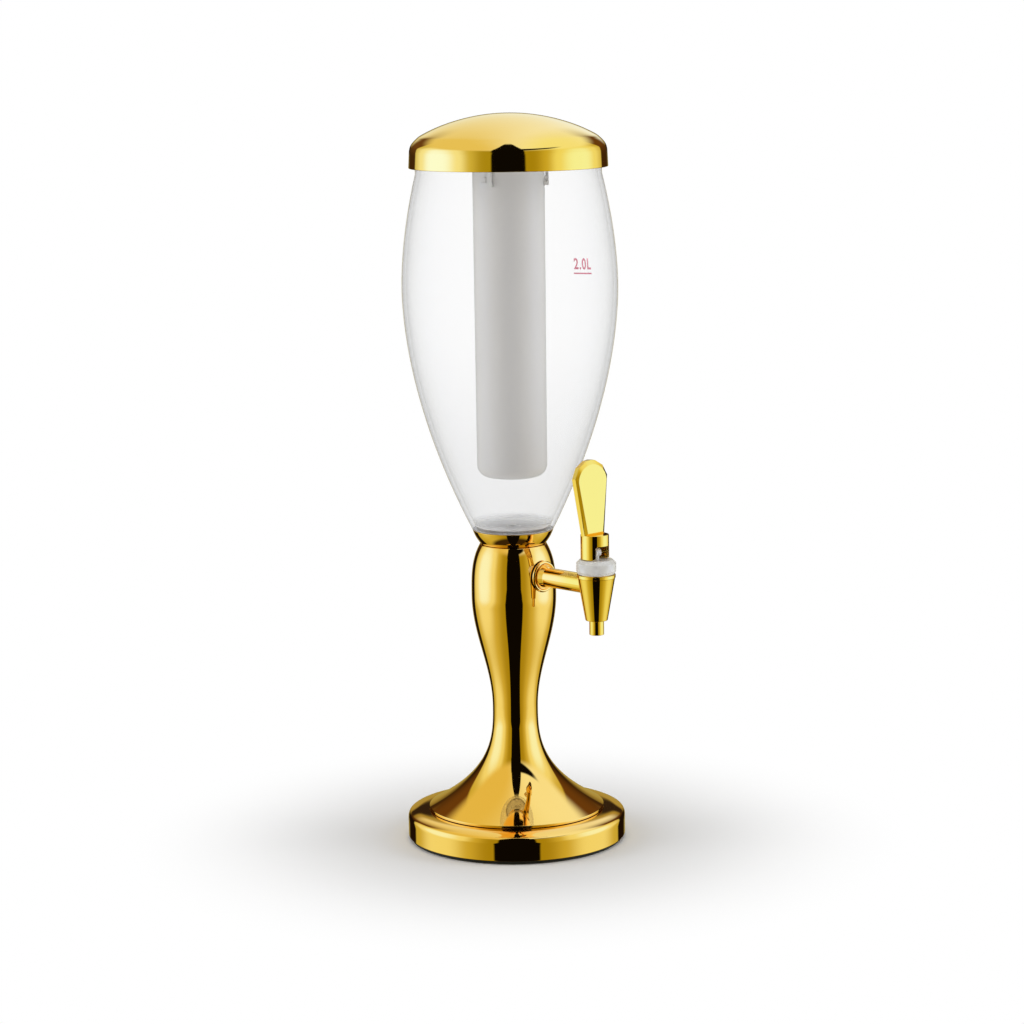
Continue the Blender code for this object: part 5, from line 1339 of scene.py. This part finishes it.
def make_tent():
    """The studio as the plating mirrors it: two softboxes at the sides, black flags between them, a
    dim wall behind and a warm ceiling. It shows in reflections only, and lights nothing."""
    g = Graph("studio_tent")
    place = g.place()
    near = g.add("ShaderNodeVectorMath", {"operation": "DOT_PRODUCT"}, {0: place, 1: tuple(TO_CAMERA)}, "Value")
    right = g.add("ShaderNodeVectorMath", {"operation": "DOT_PRODUCT"}, {0: place, 1: tuple(TO_RIGHT)}, "Value")
    x, y, z = g.axes(place)
    turn = right.math("ARCTAN2", near) * math.degrees(1.0)
    side = turn.math("ABSOLUTE")
    reach = (near * near + right * right) ** 0.5
    rise = (z - 0.2).math("ARCTAN2", reach) * math.degrees(1.0)
    level = g.ease(side, 20.0, 88.0) * g.ease(side, 136.0, 94.0, 0.35, 1.0)
    level = level * g.ease(rise, -19.0, -10.5, 0.60, 1.0) * g.ease(rise, 8.0, 50.0, 1.0, 0.62)
    level = level * g.ease(rise, -50.0, -20.0, 0.45, 1.0)
    tone = g.blend(g.ease(level, 0.0, 0.3), (0.10, 0.085, 0.005), (0.155, 0.145, 0.034))
    tone = g.blend(g.ease(level, 0.25, 0.6), tone, (0.23, 0.26, 0.20))
    tone = g.blend(g.ease(level, 0.6, 1.0), tone, (0.245, 0.345, 0.55))
    lateral = g.ease(right, -1.1, 1.1)
    roof = g.blend(lateral, (0.20, 0.185, 0.08), (0.243, 0.29, 0.34))
    back = g.blend(g.ease(rise, 14.0, 20.0), (0.105, 0.085, 0.022), roof)
    back = g.blend(g.band(rise, 6.0, 12.5, 1.5), back, (0.008, 0.005, 0.003))
    flag = g.blend(g.ease(rise, -4.0, 26.0), (0.003, 0.0015, 0.0006), (0.035, 0.016, 0.004))
    tone = g.blend(g.ease(side, 132.0, 136.0), tone, flag)
    tone = g.blend(g.ease(side, 154.0, 168.0), tone, back)
    tone = g.blend(g.ease(rise, 30.0, 44.0), tone, roof)
    tone = g.blend(g.ease(rise, -50.0, -60.0), tone, (0.010, 0.006, 0.002))
    half = g.ease(rise, -9.0, -15.0, 20.3, 25.0)
    strip = (half - side).math("MULTIPLY", 0.5, clamp=True) * g.ease(rise, 88.0, 80.0)
    gap = g.ease(rise - turn * 0.22, 30.0, 34.0) * g.ease(rise, 54.0, 51.0)
    gap = gap * g.ease(turn, 92.0, 60.0) * g.ease(turn, -22.0, -19.0)
    tone = g.blend(strip.math("MAXIMUM", gap), tone, (0.001, 0.0008, 0.0004))
    emission = g.shader("ShaderNodeEmission", Color=tone, Strength=4.0)
    profile = [(0.0, -3.2), (1.6, -3.2), (1.6, -1.6), (1.6, -0.6), (1.6, 0.4), (1.6, 1.4), (1.6, 2.6),
               (0.8, 3.0), (0.0, 3.0)]
    tent = turned("studio_tent", [Vector(p) for p in profile], "black_plastic", 96)
    tent.data.materials.clear()
    tent.data.materials.append(g.finish(emission))
    for kind in ("camera", "diffuse", "transmission", "volume_scatter", "shadow"):
        setattr(tent, "visible_" + kind, False)


class TOWER_OT_stage(bpy.types.Operator):
    """Set the camera, the floor, the surroundings, the lamps and the tent"""
    bl_idname = "tower.stage"
    bl_label = "Stage"

    def execute(self, context):
        stage = context.scene.tower_stage
        context.scene.view_settings.view_transform = "Standard"
        make_camera(stage.lens)
        make_floor()
        make_world(stage.fill)
        make_tent()
        for name, turn in (("softbox_left", -85.0), ("softbox_right", 85.0)):
            make_lamp(name, around(turn, 1.5, 0.7), (0, 0, 0.25), (0.9, 1.5), stage.side_light)
        make_lamp("softbox_top", (0.0, 0.0, 1.9), (0, 0, 0.2), (1.2, 1.2), stage.top_light)
        return {"FINISHED"}


class TOWER_PT_panel(bpy.types.Panel):
    """Lists the tower's settings and pieces"""
    bl_label = "Beer tower"
    bl_idname = "TOWER_PT_panel"
    bl_space_type = "VIEW_3D"
    bl_region_type = "UI"
    bl_category = "Tower"

    def draw(self, context):
        for group in (context.scene.tower_sizes, context.scene.tower_finish, context.scene.tower_stage):
            box = self.layout.box()
            for name in group.bl_rna.properties.keys():
                if name not in ("rna_type", "name"):
                    box.prop(group, name)
        for piece in PIECES:
            self.layout.operator(piece.bl_idname)


PIECES = (TOWER_OT_stage, TOWER_OT_foot, TOWER_OT_column, TOWER_OT_container, TOWER_OT_mark, TOWER_OT_lid,
          TOWER_OT_ice_tube, TOWER_OT_tap, TOWER_OT_spring, TOWER_OT_handle, TOWER_OT_screws, TOWER_OT_inside)
GROUPS = {"tower_sizes": TowerSizes, "tower_finish": TowerFinish, "tower_stage": TowerStage}


def register():
    for cls in (*GROUPS.values(), *PIECES, TOWER_PT_panel):
        bpy.utils.register_class(cls)
    for name, group in GROUPS.items():
        setattr(bpy.types.Scene, name, PointerProperty(type=group))


def unregister():
    for name in GROUPS:
        delattr(bpy.types.Scene, name)
    for cls in reversed((*GROUPS.values(), *PIECES, TOWER_PT_panel)):
        bpy.utils.unregister_class(cls)


def main():
    register()
    for piece in PIECES:
        group, name = piece.bl_idname.split(".")
        getattr(getattr(bpy.ops, group), name)()


if __name__ == "__main__":
    main()
